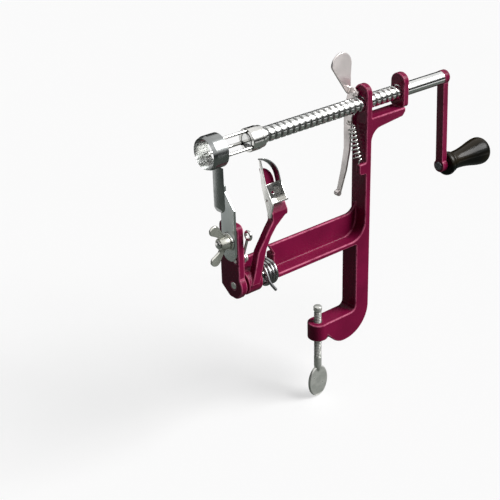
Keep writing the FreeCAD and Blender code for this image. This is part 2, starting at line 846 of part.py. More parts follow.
def build_handle():
    """Wooden grip that turns on a pin riveted to the crank arm."""
    grip_left = "crank_left + crank_thickness + grip_gap"
    y, z = "-crank_lean", "shaft_height - crank_throw"
    pin = new_body("handle_pin")
    start = "-crank_thickness - grip_gap"
    turned(pin, "Pin", [
        (f"{start} - pin_head_length", "0"), ("pin_depth", "0"), ("pin_depth", "pin_radius"),
        (start, "pin_radius"), (start, "pin_head_radius"),
        (f"{start} - pin_head_length", "pin_head_radius - pin_head_length / 2")])
    place(pin, grip_left, y, z)
    grip = new_body("handle_grip")
    bore = "pin_radius + pin_gap"
    neck = "flange_length + neck_length"
    hole = "pin_depth + grip_gap"
    end = "bulb_place + bulb_end_round"
    turned(grip, "Grip", [
        ("0", bore), (hole, bore), (hole, "0"), (end, "0"),
        (end, "bulb_radius - bulb_end_round", "bulb_end_round", 1),
        ("bulb_place", "bulb_radius", "flare_curve / 2", 1),
        (f"(bulb_place + {neck}) / 2", "(bulb_radius + neck_radius) / 2", "flare_curve / 2", -1),
        (neck, "neck_radius"), ("flange_length + flange_step", "neck_radius"),
        ("flange_length", "flange_radius - flange_step", "flange_step", 1),
        ("flange_length - flange_step", "flange_radius"), ("flange_step", "flange_radius"),
        ("0", "flange_radius - flange_step")])
    place(grip, grip_left, y, z)


# Release lever with its rivet and spring


def build_lever():
    """Folded strip: a leg with the half nut behind the shaft and a thumb plate above it."""
    body = new_body("release_lever")
    shaft = "shaft_height"
    pivot = f"{shaft} + pivot_rise"
    waist, knee, end = (below_shaft(f"lever_{part}_drop") for part in ("waist", "knee", "end"))
    pad(body, "Leg", "YZ", [
        ("pivot_back - eye_radius", f"{pivot} + eye_radius / 3"),
        ("pivot_back - eye_radius", f"{pivot} - eye_radius"),
        ("lever_shoulder_front", f"{shaft} - lever_shoulder_drop"),
        ("lever_waist_front", waist), ("lever_knee_front", knee),
        ("lever_end_front", end), ("lever_end_back", end), ("lever_knee_back", knee),
        ("lever_waist_back", waist),
        ("lever_shoulder_back", f"{shaft} - lever_shoulder_drop"),
        ("lever_shoulder_back", f"{shaft} - lever_shoulder_drop / 2"),
        ("lever_fold_back", f"{pivot} - eye_radius / 3"), ("lever_fold_back", f"{pivot} + eye_radius"),
        ("pivot_back", f"{pivot} + eye_radius")], "0", "strip_thickness")
    for index in range(4):
        swing = f"(lever_swing * {index} / 3)"
        y = f"pivot_back - pivot_back * cos({swing}) - pivot_rise * sin({swing})"
        z = f"{pivot} + pivot_back * sin({swing}) - pivot_rise * cos({swing})"
        through(body, f"HalfNut{index + 1}", "YZ", (y, z, "shaft_radius + bore_gap"), "0",
                "strip_thickness")
    through(body, "RivetHole", "YZ", ("pivot_back", pivot, "rivet_radius + rivet_gap"), "0",
            "strip_thickness")
    through(body, "HookHole", "YZ",
            ("hook_hole_back", below_shaft("hook_hole_drop"), "hook_hole_radius"), "0",
            "strip_thickness")
    fold_low = f"{pivot} - eye_radius / 3"
    centre = f"{fold_low} + thumb_rise"
    thumb_u = "-thumb_centre + strip_thickness"
    pad(body, "Thumb", "XZ", [
        ("strip_thickness", fold_low),
        ("strip_thickness", centre + " - thumb_radius"),
        (f"{thumb_u} + thumb_radius", centre, "thumb_radius", 1),
        (thumb_u, f"{centre} + thumb_radius", "thumb_radius", 1),
        (f"{thumb_u} - thumb_radius", centre),
        ("strip_thickness - thumb_neck_width", f"{fold_low} + eye_radius"),
        ("strip_thickness - thumb_neck_width / 2", fold_low)],
        "lever_fold_back - strip_thickness", "lever_fold_back")
    pad(body, "Curl", "XZ", ("-curl_radius + strip_thickness", f"{end} - curl_radius / 2",
                             "curl_radius"),
        "lever_end_front", "lever_end_back")
    lever_left = "post_outer - post_thickness - strip_gap - strip_thickness"
    place(body, lever_left)
    rivet = new_body("lever_rivet")
    post_right = "strip_thickness + strip_gap + post_thickness"
    turned(rivet, "Rivet", [
        ("-rivet_head_length", "0"), (f"{post_right} + rivet_head_length", "0"),
        (f"{post_right} + rivet_head_length", "rivet_head_radius / 2"),
        (post_right, "rivet_head_radius"), (post_right, "rivet_radius"),
        ("-seat_gap", "rivet_radius"), ("-seat_gap", "rivet_head_radius"),
        ("-rivet_head_length", "rivet_head_radius / 2")])
    place(rivet, lever_left, "pivot_back", pivot)
    ring("lever_spacer", "rivet_head_radius", "rivet_radius + rivet_gap",
         "strip_gap - 2 * seat_gap", f"{lever_left} + strip_thickness + seat_gap", "pivot_back", pivot)


def build_lever_spring():
    """Closed-wound pull spring between the lever's hole and the lug on the post."""
    wire = number("coil_wire")
    slope = number("coil_slope")
    axis = Vector(0, -math.sin(slope), -math.cos(slope))
    centre_x = number("post_outer - post_thickness - coil_place")
    top = Vector(centre_x, number("coil_top_back"), number(below_shaft("coil_top_drop")))
    coil = helix_stations(top, axis, Vector(1, 0, 0), number("coil_radius"), number("coil_pitch"),
                          number("coil_turns"), 0, 1)
    face = number("post_outer - post_thickness - strip_gap - strip_thickness")
    hook = Vector(face, number("hook_hole_back"), number(below_shaft("hook_hole_drop")))
    left = Vector(-1, 0, 0)
    foot = Vector(centre_x, number("-frame_width / 2 + lug_width / 2"), number(below_shaft("lug_drop")))
    down = Vector(0, 0, -1)
    stations = [(hook - left * (number("strip_thickness") + wire), left), (hook + left * wire, left)]
    stations += coil
    stations += [(foot - down * wire * 1.2, down), (foot, down)]
    return wire_tube("lever_spring", stations, wire)


# Slicer: bracket, corer ring and cutting blade, clamped by a wing nut


def build_slicer():
    """Slotted plate on the upright with a welded blade and corer ring."""
    body = new_body("slicer_bracket")
    pad(body, "Plate", "YZ", [
        ("-plate_front", "plate_bottom"), ("-plate_back", "plate_bottom"),
        ("-plate_back", "plate_shoulder"), ("cutter_width / 2", "plate_top"),
        ("cutter_width / 2", "plate_top + plate_neck"), ("-cutter_width / 2", "plate_top + plate_neck"),
        ("-cutter_width / 2", "plate_top"), ("-plate_front", "plate_shoulder")],
        "-plate_thickness", "0")
    round_edges(body, "PlateBottom", "YZ", [
        ("-plate_front", "plate_bottom"), ("-plate_back", "plate_bottom")],
        "plate_round")
    slot = "(bolt_radius + bolt_gap)"
    low, high = "bolt_height - slot_travel", "bolt_height + slot_travel"
    left, right = f"-bolt_forward - {slot}", f"-bolt_forward + {slot}"
    through(body, "Slot", "YZ", [
        (left, low, slot, 1), ("-bolt_forward", f"{low} - {slot}", slot, 1), (right, low),
        (right, high, slot, 1), ("-bolt_forward", f"{high} + {slot}", slot, 1), (left, high)],
        "-plate_thickness", "0")
    place(body, "-upright_outer - seat_gap")
    blade = new_body("slicing_blade")
    blade_top = "shaft_height - ring_bore - ring_wall"
    blade_bottom = "shaft_height - cutter_reach"
    pad(blade, "Blade", "YZ", [
        ("-cutter_width / 2", blade_bottom), ("cutter_width / 2", blade_bottom),
        ("cutter_width / 2", blade_top), ("-cutter_width / 2", blade_top)],
        "-cutter_thickness", "0")
    round_edges(blade, "BladeEnd", "YZ", [
        ("-cutter_width / 2", blade_bottom), ("cutter_width / 2", blade_bottom)],
        "cutter_round")
    place(blade, "-upright_outer - seat_gap - plate_thickness")
    ring_right = "-upright_outer - seat_gap - plate_thickness + ring_wall"
    ring("corer_ring", "ring_bore + ring_wall", "ring_bore", "ring_length",
         f"{ring_right} - ring_length", "0", "shaft_height")


def build_slicer_fixing():
    """Round-headed bolt through the upright, with washer and wing nut."""
    y, z = "-bolt_forward", "bolt_height"
    bolt = new_body("slicer_bolt")
    head_left = "upright_thickness"
    turned(bolt, "Bolt", [
        ("-bolt_reach", "0"), (f"{head_left} + bolt_head_length", "0"),
        (f"{head_left} + bolt_head_length", "bolt_head_radius / 2"),
        (f"{head_left} + bolt_head_length / 3", "bolt_head_radius"), (head_left, "bolt_head_radius"),
        (head_left, "bolt_radius"), ("-bolt_reach", "bolt_radius")])
    place(bolt, "-upright_outer", y, z)
    washer_right = "-upright_outer - plate_thickness - 2 * seat_gap"
    ring("slicer_washer", "washer_radius", "bolt_radius + bolt_gap", "washer_thickness",
         f"{washer_right} - washer_thickness", y, z)
    nut = new_body("slicer_wing_nut")
    bore = "bolt_radius + bore_gap"
    turned(nut, "Hub", [
        ("-nut_hub_length", bore), ("0", bore), ("0", "nut_hub_radius"),
        ("-nut_hub_length", "nut_hub_end_radius")])
    for index, side in enumerate(("", "-")):
        root, outside = f"{side}wing_root", f"{side}(wing_span - wing_bevel)"
        pad(nut, f"Wing{index + 1}", "XZ", [
            ("-wing_inset", root), ("-nut_hub_length + wing_inset", root),
            ("-wing_flare + wing_bevel", f"{side}wing_waist"), ("-wing_flare", outside),
            ("-wing_flare + wing_bevel", f"{side}wing_span"), ("-nut_hub_length", f"{side}wing_span"),
            ("-wing_inset - wing_bevel", outside)],
            "-wing_thickness / 2", "wing_thickness / 2")
    place(nut, f"{washer_right} - washer_thickness - seat_gap", y, z)


# Peeling arm with its pin, clip and spring


def build_arm():
    """Cast arm that swings about the pin and carries the peeling head."""
    body = new_body("peeling_arm")
    front, back = "-arm_front", "-arm_front + arm_thickness"
    foot_front, foot_back = "-arm_foot_front", "-arm_foot_front + arm_thickness"
    boss_left, boss_right = from_boss("0"), from_boss("arm_boss_length")
    bottom, lip, top = (below_shaft(f"head_{part}_drop") for part in ("bottom", "lip", "top"))
    inside_head = f"({bottom} + {lip}) / 2"
    flare = from_boss("head_right - arm_flare")
    mid, neck, high = (below_shaft(f"arm_{part}_drop") for part in ("mid", "neck", "high"))
    pad(body, "Bar", "XZ", [
        (from_boss("arm_low_left"), "arm_axis_height"), (from_boss("arm_foot_right"), "arm_axis_height"),
        (from_boss("arm_low_right"), "arm_axis_height + arm_shoulder_rise"),
        (from_boss("arm_mid_right"), mid), (from_boss("arm_neck_right"), neck),
        (from_boss("arm_high_right"), high), (flare, bottom), (flare, inside_head),
        (from_boss("head_left"), inside_head), (from_boss("head_left"), below_shaft("arm_top_drop")),
        (from_boss("arm_high_left"), high), (from_boss("arm_mid_left"), mid)],
        foot_front, back)
    start = "arm_axis_height + arm_slope_rise"
    reach = (from_boss("0"), from_boss("head_right"))
    through(body, "FrontSlope", "YZ", [
        (foot_front, start), (front, bottom), (front, f"{lip} + cut_margin"),
        (f"{foot_front} - cut_margin", f"{lip} + cut_margin"), (f"{foot_front} - cut_margin", start)],
        *reach)
    through(body, "BackSlope", "YZ", [
        ("-arm_axis_front", "arm_axis_height - cut_margin"),
        (f"{back} + cut_margin", "arm_axis_height - cut_margin"), (f"{back} + cut_margin", bottom),
        (back, bottom), (foot_back, start)], *reach)
    pad(body, "Boss", "YZ", ("-arm_axis_front", "arm_axis_height", "arm_boss_radius"), boss_left,
        boss_right)
    pad(body, "Head", "YZ", [
        (front, bottom), (back, bottom), (back, top), ("-arm_front + arm_thickness / 2", top),
        (front, lip)], from_boss("head_left"), from_boss("head_right"))
    round_edges(body, "HeadLip", "YZ", [(front, lip)], "head_lip_round")
    through(body, "PinBore", "YZ", ("-arm_axis_front", "arm_axis_height", "arm_pin_radius + bore_gap"),
            boss_left, boss_right)
    pin_right = from_boss("arm_pin_reach")
    pin = cylinder("arm_pin_radius", f"{pin_right} + upright_outer", "-upright_outer",
                   "-arm_axis_front", "arm_axis_height")
    keep(pin, "arm_pivot_pin")
    ring("arm_pin_clip", "clip_radius", "arm_pin_radius", "clip_thickness",
         f"{pin_right} - 2 * clip_thickness", "-arm_axis_front", "arm_axis_height")


def build_arm_spring():
    """Torsion spring round the pin, one leg on the rib and one down by the table's edge."""
    pitch = number("spring_pitch")
    radius = number("spring_radius")
    centre = Vector(number(from_boss("spring_right")), number("-arm_axis_front"), number("arm_axis_height"))
    coil = helix_stations(centre, Vector(-1, 0, 0), Vector(0, 1, 0), radius, pitch,
                          number("spring_turns"), -math.pi / 2, -1)
    front = Vector(0, -1, 0)
    rib_face = number("web_back - web_thickness - rivet_gap")
    stations = [(Vector(centre.x, rib_face, centre.z + radius), front), (coil[0][0], front)]
    stations += coil[1:]
    angle = math.radians(number("spring_leg_angle"))
    run = pitch * (angle - math.pi / 2) / (2 * math.pi)
    leave = Vector(coil[-1][0].x - run, centre.y + radius * math.cos(angle),
                   centre.z + radius * math.sin(angle))
    down = Vector(0, -math.sin(angle), math.cos(angle))
    knee = leave + down * number("spring_leg_knee")
    length = (knee.z - number("spring_leg_end")) / -down.z
    end = knee + down * length + Vector(number("spring_leg_drift"), 0, 0)
    leg_way = (end - knee).normalize()
    stations += [(leave, down), (knee, down),
                 (end - leg_way * number("spring_wire"), leg_way), (end, leg_way)]
    return wire_tube("arm_spring", stations, number("spring_wire"))


# Peeling head: channel holder, curved blade and guard


def build_peeling_head():
    """Leaning channel with a curved blade over its top, and a painted guard behind it."""
    holder = new_body("blade_holder")
    wall = "holder_thickness"
    pad(holder, "Back", "XZ", [
        ("0", "0"), ("holder_width", "0"), ("holder_width", "holder_rise"), ("0", "holder_rise")],
        f"-{wall}", "0")
    pad(holder, "LeftWall", "YZ", [
        ("0", "-holder_drop"), ("0", "holder_rise"), ("-holder_tip", "holder_top"),
        (f"-holder_tip - {wall}", "holder_top"), ("-holder_flange", "holder_rise"),
        ("-holder_foot_depth", wall), ("-holder_foot_depth", f"-{wall}"),
        (f"-2 * {wall}", "-holder_drop")], "0", wall)
    pad(holder, "RightWall", "YZ", [
        ("-holder_foot_depth", "0"), ("0", "0"), ("0", "holder_rise"),
        ("-holder_flange", "holder_rise"), ("-holder_foot_depth", wall)],
        f"holder_width - {wall}", "holder_width")
    pad(holder, "Floor", "XY", [
        ("0", "-holder_foot_depth"), ("holder_width", "-holder_foot_depth"),
        ("holder_width", "0"), ("0", "0")], "0", wall)
    pad(holder, "Rivet", "YZ", (f"-2 * {wall}", f"3 * {wall}", "holder_rivet_radius"),
        "-holder_rivet_radius / 2", "0")
    through(holder, "Hole", "XZ", ("holder_hole_place", "holder_hole_rise", "holder_hole_radius"),
            f"-{wall}", "0")
    place_leaning(holder, 0)
    blade = new_body("peeling_blade")
    outer, inner = "blade_radius", "(blade_radius - blade_thickness)"
    pad(blade, "Band", "XZ", [
        (f"{outer} - blade_left", "blade_foot"), (f"{outer} - blade_left", "blade_rise", outer, 1),
        (f"{outer} * cos(blade_sweep) - blade_left", f"blade_rise + {outer} * sin(blade_sweep)"),
        (f"{inner} * cos(blade_sweep) - blade_left", f"blade_rise + {inner} * sin(blade_sweep)",
         inner, -1),
        (f"{inner} - blade_left", "blade_rise"), (f"{inner} - blade_left", "blade_foot")],
        "-blade_width", "0")
    place_leaning(blade, -number("holder_thickness + seat_gap"))
    guard = new_body("depth_guard")
    pad(guard, "Plate", "XZ", [
        ("guard_right - guard_radius", "0"), ("guard_right", "0"),
        ("guard_right", "guard_rise", "guard_radius", 1),
        ("guard_right - guard_radius", "guard_rise + guard_radius")], "0", "guard_thickness")
    place_leaning(guard, number("seat_gap"))


def place_leaning(piece, back):
    """Places a piece that leans with the peeling head, this far behind its back plate."""
    lean = number("holder_lean")
    place(piece, from_boss("holder_left"), f"-holder_forward + {back} * cos({lean})",
          f"{below_shaft('head_top_drop')} + seat_gap - {back} * sin({lean})",
          Rotation(Vector(1, 0, 0), -lean))


# Arm latch


def build_latch():
    """Wire latch with a ring, hung on a rivet in the upright."""
    upright_right = "-upright_outer + upright_thickness"
    x = f"{upright_right} + latch_gap + latch_wire"
    lean = Rotation(Vector(1, 0, 0), number("latch_tilt"))
    eye = torus("latch_eye", "latch_wire", x, "-latch_front", "latch_height")
    ring = torus("latch_ring", "latch_wire", x, "-latch_front - latch_length * sin(latch_tilt)",
                 "latch_height + latch_length * cos(latch_tilt)")
    stem = doc.addObject("Part::Cylinder", "Stem")
    stem.setExpression("Radius", bound("latch_wire"))
    stem.setExpression("Height", bound("latch_length - latch_eye - latch_ring"))
    place(stem, x, "-latch_front - latch_eye * sin(latch_tilt)",
          "latch_height + latch_eye * cos(latch_tilt)", lean)
    keep(joined(eye, ring, stem), "arm_latch")
    shank = cylinder("rivet_radius", "upright_thickness + 2 * latch_gap + 2 * latch_wire",
                     "-upright_outer", "-latch_front", "latch_height")
    head = cylinder("latch_eye + latch_gap", "rivet_head_length",
                    f"{upright_right} + 2 * latch_gap + 2 * latch_wire", "-latch_front", "latch_height")
    keep(joined(shank, head), "latch_rivet")


def torus(ring_radius, wire_radius, x, y, z):
    """Ring of round wire in a plane across the X axis."""
    ring = doc.addObject("Part::Torus", "Ring")
    ring.setExpression("Radius1", bound(ring_radius))
    ring.setExpression("Radius2", bound(wire_radius))
    return place(ring, x, y, z, TURNS["X"])


# Clamp screw


def build_clamp_screw():
    """Screw with an oval thumb plate, and the cap on its tip."""
    body = new_body("clamp_screw")
    shoulder = "-screw_tip - tip_length - seat_gap"
    pad(body, "Rod", "XY", ("0", "0", "screw_radius"), "-screw_neck - thumb_plate_thickness", shoulder)
    pad(body, "Stud", "XY", ("0", "0", "tip_socket"), f"{shoulder} - cut_margin",
        f"{shoulder} + tip_length / 2")
    half = "thumb_plate_width / 2"
    wide = "-thumb_plate_middle"
    pad(body, "ThumbPlate", "XZ", [
        ("-screw_radius", "-screw_neck", "thumb_plate_shoulder", 1),
        (f"-{half}", wide, "thumb_plate_round", 1),
        ("0", "-thumb_plate_bottom", "thumb_plate_round", 1),
        (half, wide, "thumb_plate_shoulder", 1), ("screw_radius", "-screw_neck")],
        "-thumb_plate_thickness / 2", "thumb_plate_thickness / 2")
    place(body)
    bottom = "-screw_tip - tip_length"
    socket_top = f"{bottom} + tip_length / 2 + tip_gap"
    cap = cut(cylinder("tip_radius", "tip_length", "0", "0", bottom, "Z"),
              cylinder("tip_socket + tip_gap", f"{socket_top} - ({bottom}) + cut_margin", "0", "0",
                       f"{bottom} - cut_margin", "Z"))
    keep(cap, "clamp_tip")


build_clamp_frame()
build_shaft()
build_fork()
build_crank()
build_handle()
build_lever()
build_lever_spring()
build_slicer()
build_slicer_fixing()
build_arm()
build_arm_spring()
build_peeling_head()
build_latch()
build_clamp_screw()

doc.recompute()
for item in doc.Objects:
    if any(state in ("Invalid", "Error") for state in item.State):
        raise RuntimeError(f"{item.Label} failed: {item.State}")
for piece in pieces:
    if piece.Shape.isNull() or not piece.Shape.isValid():
        raise RuntimeError(f"{piece.Label} has no valid shape")
os.makedirs("parts", exist_ok=True)
for piece in pieces:
    piece.Shape.exportStep(f"parts/{piece.Label}.step")
print(f"{len(pieces)} sub-parts written")
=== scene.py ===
import json
import logging
import math
from dataclasses import dataclass
from enum import Enum
from typing import Callable, Optional, Sequence, Union

import bmesh
import bpy
from mathutils import Matrix, Vector
from mathutils.bvhtree import BVHTree


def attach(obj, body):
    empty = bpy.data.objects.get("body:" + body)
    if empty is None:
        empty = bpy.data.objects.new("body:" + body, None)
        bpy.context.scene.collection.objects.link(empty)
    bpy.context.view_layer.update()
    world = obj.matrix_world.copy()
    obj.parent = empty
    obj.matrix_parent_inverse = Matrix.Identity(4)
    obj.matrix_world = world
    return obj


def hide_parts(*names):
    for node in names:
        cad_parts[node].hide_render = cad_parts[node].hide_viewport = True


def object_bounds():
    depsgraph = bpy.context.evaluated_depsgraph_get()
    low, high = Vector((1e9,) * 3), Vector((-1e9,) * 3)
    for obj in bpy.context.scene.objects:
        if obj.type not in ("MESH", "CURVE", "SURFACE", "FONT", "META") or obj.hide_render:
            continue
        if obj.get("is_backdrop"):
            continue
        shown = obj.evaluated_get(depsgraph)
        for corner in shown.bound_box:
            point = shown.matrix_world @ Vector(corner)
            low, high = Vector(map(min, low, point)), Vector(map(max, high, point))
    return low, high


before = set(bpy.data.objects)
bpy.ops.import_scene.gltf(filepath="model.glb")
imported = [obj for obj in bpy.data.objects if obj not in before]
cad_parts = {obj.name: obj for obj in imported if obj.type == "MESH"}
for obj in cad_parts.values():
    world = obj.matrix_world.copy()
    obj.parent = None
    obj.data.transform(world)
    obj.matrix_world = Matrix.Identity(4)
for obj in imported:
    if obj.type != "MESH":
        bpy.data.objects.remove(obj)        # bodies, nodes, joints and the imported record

CAD_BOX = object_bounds()
MM = 0.001
SHAFT_HEIGHT = 97.6
log = logging.getLogger("peeler")

# Names under which a mesh keeps the shares that the finishes read
EDGE_SHARE = "edge_share"
SUNK_SHARE = "sunk_share"

# Metres, radians, a share of a rounding's width and a weight that the mesh tools go by
SAME_SPOT = 0.002 * MM
SAME_PLANE = math.radians(0.6)
BENT_FACE = 0.05 * MM
ASTRAY_SHARE = 0.5
AREA_WEIGHT = 100

# Millimetres that stay round a turned piece's axis, and shares of a wire's radius at its ends
LEAST_RADIUS = 0.01
DOME_RISE = 0.3
DOME_SHARE = 0.6

Point = tuple[float, float]
Span = tuple[float, float]
Triple = tuple[float, float, float]
Colour = Triple
Number = Union[float, "Signal"]


class Axis(Enum):
    """Axis that a turned piece stands on."""

    X = "x"
    Z = "z"

    def place(self, along: float, out: float, angle: float) -> Vector:
        """Point near the axis, with angles right-handed about it.

        Args:
            along: distance along the axis.
            out: distance out from it.
            angle: turn about it in radians.

        Returns:
            The point.
        """
        first, second = out * math.cos(angle), out * math.sin(angle)
        if self is Axis.X:
            return Vector((along, first, second))
        return Vector((first, second, along))


# Shader toolkit


class Signal:
    """Number that varies over a surface, with the operators of plain numbers."""

    def __init__(self, graph: "Graph", socket: bpy.types.NodeSocket) -> None:
        """Wraps an output socket of the graph."""
        self.graph = graph
        self.socket = socket

    def __add__(self, other: Number) -> "Signal":
        """Sum."""
        return self.graph.maths("ADD", self, other)

    def __sub__(self, other: Number) -> "Signal":
        """Difference."""
        return self.graph.maths("SUBTRACT", self, other)

    def __rsub__(self, other: Number) -> "Signal":
        """Difference from a plain number."""
        return self.graph.maths("SUBTRACT", other, self)

    def __mul__(self, other: Number) -> "Signal":
        """Product."""
        return self.graph.maths("MULTIPLY", self, other)

    __radd__ = __add__
    __rmul__ = __mul__

    def between(self, low: float, high: float) -> "Signal":
        """Smooth step.

        Args:
            low: value at which the step is 0.
            high: value at which it is 1.

        Returns:
            The step.
        """
        node = self.graph.node(
            "ShaderNodeMapRange", {"interpolation_type": "SMOOTHSTEP", "clamp": True},
            {"Value": self, "From Min": low, "From Max": high})
        return Signal(self.graph, node.outputs["Result"])


class Graph:
    """Node tree that is built from nothing."""

    def __init__(self, tree: bpy.types.NodeTree) -> None:
        """Takes over a tree and empties it."""
        self.tree = tree
        self.tree.nodes.clear()

    def node(self, kind: str, settings: dict, inputs: dict) -> bpy.types.Node:
        """Adds a node.

        Args:
            kind: the node's type name.
            settings: its own settings, set first.
            inputs: values or links by socket name or number.

        Returns:
            The node.
        """
        node = self.tree.nodes.new(kind)
        for key, value in settings.items():
            setattr(node, key, value)
        for key, value in inputs.items():
            self.feed(node.inputs[key], value)
        return node

    def feed(self, socket: bpy.types.NodeSocket, value: object) -> None:
        """Links a signal or socket to an input, or sets its value.

        Args:
            socket: the input.
            value: what goes into it.
        """
        if isinstance(value, Signal):
            value = value.socket
        if isinstance(value, bpy.types.NodeSocket):
            self.tree.links.new(value, socket)
        elif isinstance(value, tuple) and socket.type == "RGBA":
            socket.default_value = (*value, 1.0)
        else:
            socket.default_value = value

    def maths(self, operation: str, first: Number, second: Number = 0.0) -> Signal:
        """Math node on two numbers."""
        node = self.node("ShaderNodeMath", {"operation": operation}, {0: first, 1: second})
        return Signal(self, node.outputs[0])

    def place(self, stretch: Triple = (1.0, 1.0, 1.0)) -> bpy.types.NodeSocket:
        """Place on the piece in metres.

        Args:
            stretch: factors along the three axes.

        Returns:
            The place's socket.
        """
        coords = self.node("ShaderNodeTexCoord", {}, {}).outputs["Object"]
        scaled = self.node("ShaderNodeVectorMath", {"operation": "MULTIPLY"},
                           {0: coords, 1: stretch})
        return scaled.outputs[0]

    def share(self, name: str) -> Signal:
        """Share of 0 to 1 that a mesh keeps under this name, and 0 where it has none."""
        node = self.node("ShaderNodeAttribute", {"attribute_name": name}, {})
        return Signal(self, node.outputs["Fac"])

    def noise(self, place: bpy.types.NodeSocket, scale: float, detail: float = 2.0) -> Signal:
        """Noise from 0 to 1 at this many features a metre."""
        node = self.node("ShaderNodeTexNoise", {},
                         {"Vector": place, "Scale": scale, "Detail": detail})
        return Signal(self, node.outputs[0])

    def mix(self, share: Number, first: object, second: object) -> bpy.types.NodeSocket:
        """Colour between two colours."""
        node = self.node("ShaderNodeMix", {"data_type": "RGBA"}, {0: share, 6: first, 7: second})
        return node.outputs[2]

    def bump(self, height: Signal, depth: float) -> bpy.types.NodeSocket:
        """Normal of a surface raised by a height of 0 to 1 times a depth in metres."""
        node = self.node("ShaderNodeBump", {}, {"Height": height, "Distance": depth})
        return node.outputs[0]


class Surface(Graph):
    """Node tree of one material, with a Principled shader at its end."""

    def __init__(self, name: str) -> None:
        """Makes the material and its shader.

        Args:
            name: the material's name.
        """
        self.material = bpy.data.materials.new(name)
        self.material.use_nodes = True
        super().__init__(self.material.node_tree)
        self.shader = self.node("ShaderNodeBsdfPrincipled", {}, {})
        self.out = self.node("ShaderNodeOutputMaterial", {}, {"Surface": self.shader.outputs[0]})

    def finish(self, **inputs: object) -> bpy.types.Material:
        """Feeds the shader.

        Args:
            **inputs: values or links by socket name, with underscores for spaces.

        Returns:
            The material.
        """
        for key, value in inputs.items():
            self.feed(self.shader.inputs[key.replace("_", " ")], value)
        return self.material


# Finishes


@dataclass(frozen=True)
class Enamel:
    """Glossy enamel over a sand casting, its rounded edges lighter: thin paint and painted
    highlight.
    """

    name: str
    paint: Colour
    deep: Colour
    # Colour of the rounded edges: thin paint there, and painted highlight along them
    thin: Colour
    drift: float = 45.0
    patches: Span = (0.3, 0.7)
    peel: float = 700.0
    peel_depth: float = 0.00012
    sand: float = 2600.0
    sand_depth: float = 0.00002
    rub_and_highlight: float = 0.8
    rub_and_highlight_scale: float = 6.0
    rub_and_highlight_patches: Span = (0.2, 0.55)
    smooth: float = 0.22
    smooth_swing: float = 0.1
    coat: float = 0.02
    coat_swing: float = 0.04
    coat_rough: float = 0.14
    gloss: float = 0.09

    def build(self) -> bpy.types.Material:
        """Makes the material.

        Returns:
            The material.
        """
        graph = Surface(self.name)
        place = graph.place()
        cloud = graph.noise(place, self.drift, detail=3.0).between(*self.patches)
        peel = graph.noise(place, self.peel)
        grit = graph.noise(place, self.sand, detail=1.0)
        height = peel + grit * (self.sand_depth / self.peel_depth)
        # Rounded edges lighter in patches: partly worn thin paint, partly painted highlight
        rubbed_and_lit = graph.noise(place, self.drift * self.rub_and_highlight_scale, detail=3.0)
        edge = graph.share(EDGE_SHARE) * rubbed_and_lit.between(*self.rub_and_highlight_patches)
        colour = graph.mix(cloud, self.paint, self.deep)
        return graph.finish(
            Base_Color=graph.mix(edge * self.rub_and_highlight, colour, self.thin),
            Roughness=self.smooth + self.smooth_swing * cloud,
            Normal=graph.bump(height, self.peel_depth),
            Coat_Weight=self.coat + self.coat_swing * peel, Coat_Roughness=self.coat_rough,
            Specular_IOR_Level=self.gloss)


@dataclass(frozen=True)
class Metal:
    """Plated, ground or satin metal with fine lines along one axis, lighter on rounded edges (wear
    and painted highlight) and darker in thread grooves (painted shade with oily grime).
    """

    name: str
    bright: Colour
    dull: Colour
    smooth: float
    rough: float
    lines: Triple = (1.0, 1.0, 1.0)
    line_scale: float = 900.0
    line_depth: float = 0.00001
    cloud_scale: float = 70.0
    cloud_share: float = 0.6
    patches: Span = (0.35, 0.65)
    metallic: float = 1.0
    edge_wear_and_highlight: float = 0.7
    # Colour of the thread grooves: painted shade, with some oily grime
    groove_shade_and_grime: Colour = (0.05, 0.052, 0.05)
    groove_shade_and_grime_share: float = 0.72
    groove_rough: float = 0.2

    def build(self) -> bpy.types.Material:
        """Makes the material.

        Returns:
            The material.
        """
        graph = Surface(self.name)
        cloud = graph.noise(graph.place(), self.cloud_scale, detail=3.0).between(*self.patches)
        lines = graph.noise(graph.place(self.lines), self.line_scale, detail=3.0)
        share = cloud * self.cloud_share + lines * (1.0 - self.cloud_share)
        # Rounded edges go to the bright colour: partly wear, partly painted highlight
        rubbed_and_lit = share * (1.0 - self.edge_wear_and_highlight * graph.share(EDGE_SHARE))
        # Thread grooves go darker: painted shade, with some oily grime
        sunk = graph.share(SUNK_SHARE)
        plate = graph.mix(rubbed_and_lit, self.bright, self.dull)
        return graph.finish(
            Base_Color=graph.mix(sunk * self.groove_shade_and_grime_share, plate, self.groove_shade_and_grime),
            Metallic=self.metallic,
            Roughness=self.smooth + (self.rough - self.smooth) * share + self.groove_rough * sunk,
            Normal=graph.bump(lines, self.line_depth))


@dataclass(frozen=True)
class VarnishedWood:
    """Dark turned wood under clear varnish, with its grain along the handle."""

    name: str
    dark: Colour
    warm: Colour
    pore: Colour
    grain: Triple = (18.0, 260.0, 260.0)
    grain_scale: float = 3.0
    figure: Triple = (9.0, 60.0, 60.0)
    figure_scale: float = 1.0
    streaks: Span = (0.38, 0.66)
    pore_band: Span = (0.58, 0.7)
    pore_share: float = 0.8
    pore_depth: float = 0.00004
    smooth: float = 0.18
    smooth_swing: float = 0.12
    coat: float = 0.07
    coat_swing: float = 0.06
    coat_rough: float = 0.08
    gloss: float = 0.10

    def build(self) -> bpy.types.Material:
        """Makes the material.

        Returns:
            The material.
        """
        graph = Surface(self.name)
        figure = graph.noise(graph.place(self.figure), self.figure_scale, detail=4.0)
        figure = figure.between(*self.streaks)
        fibre = graph.noise(graph.place(self.grain), self.grain_scale, detail=3.0)
        pores = fibre.between(*self.pore_band)
        colour = graph.mix(figure, self.dark, self.warm)
        return graph.finish(
            Base_Color=graph.mix(pores * self.pore_share, colour, self.pore),
            Roughness=self.smooth + self.smooth_swing * fibre,
            Normal=graph.bump(1.0 - pores, self.pore_depth),
            Coat_Weight=self.coat + self.coat_swing * figure, Coat_Roughness=self.coat_rough,
            Specular_IOR_Level=self.gloss)


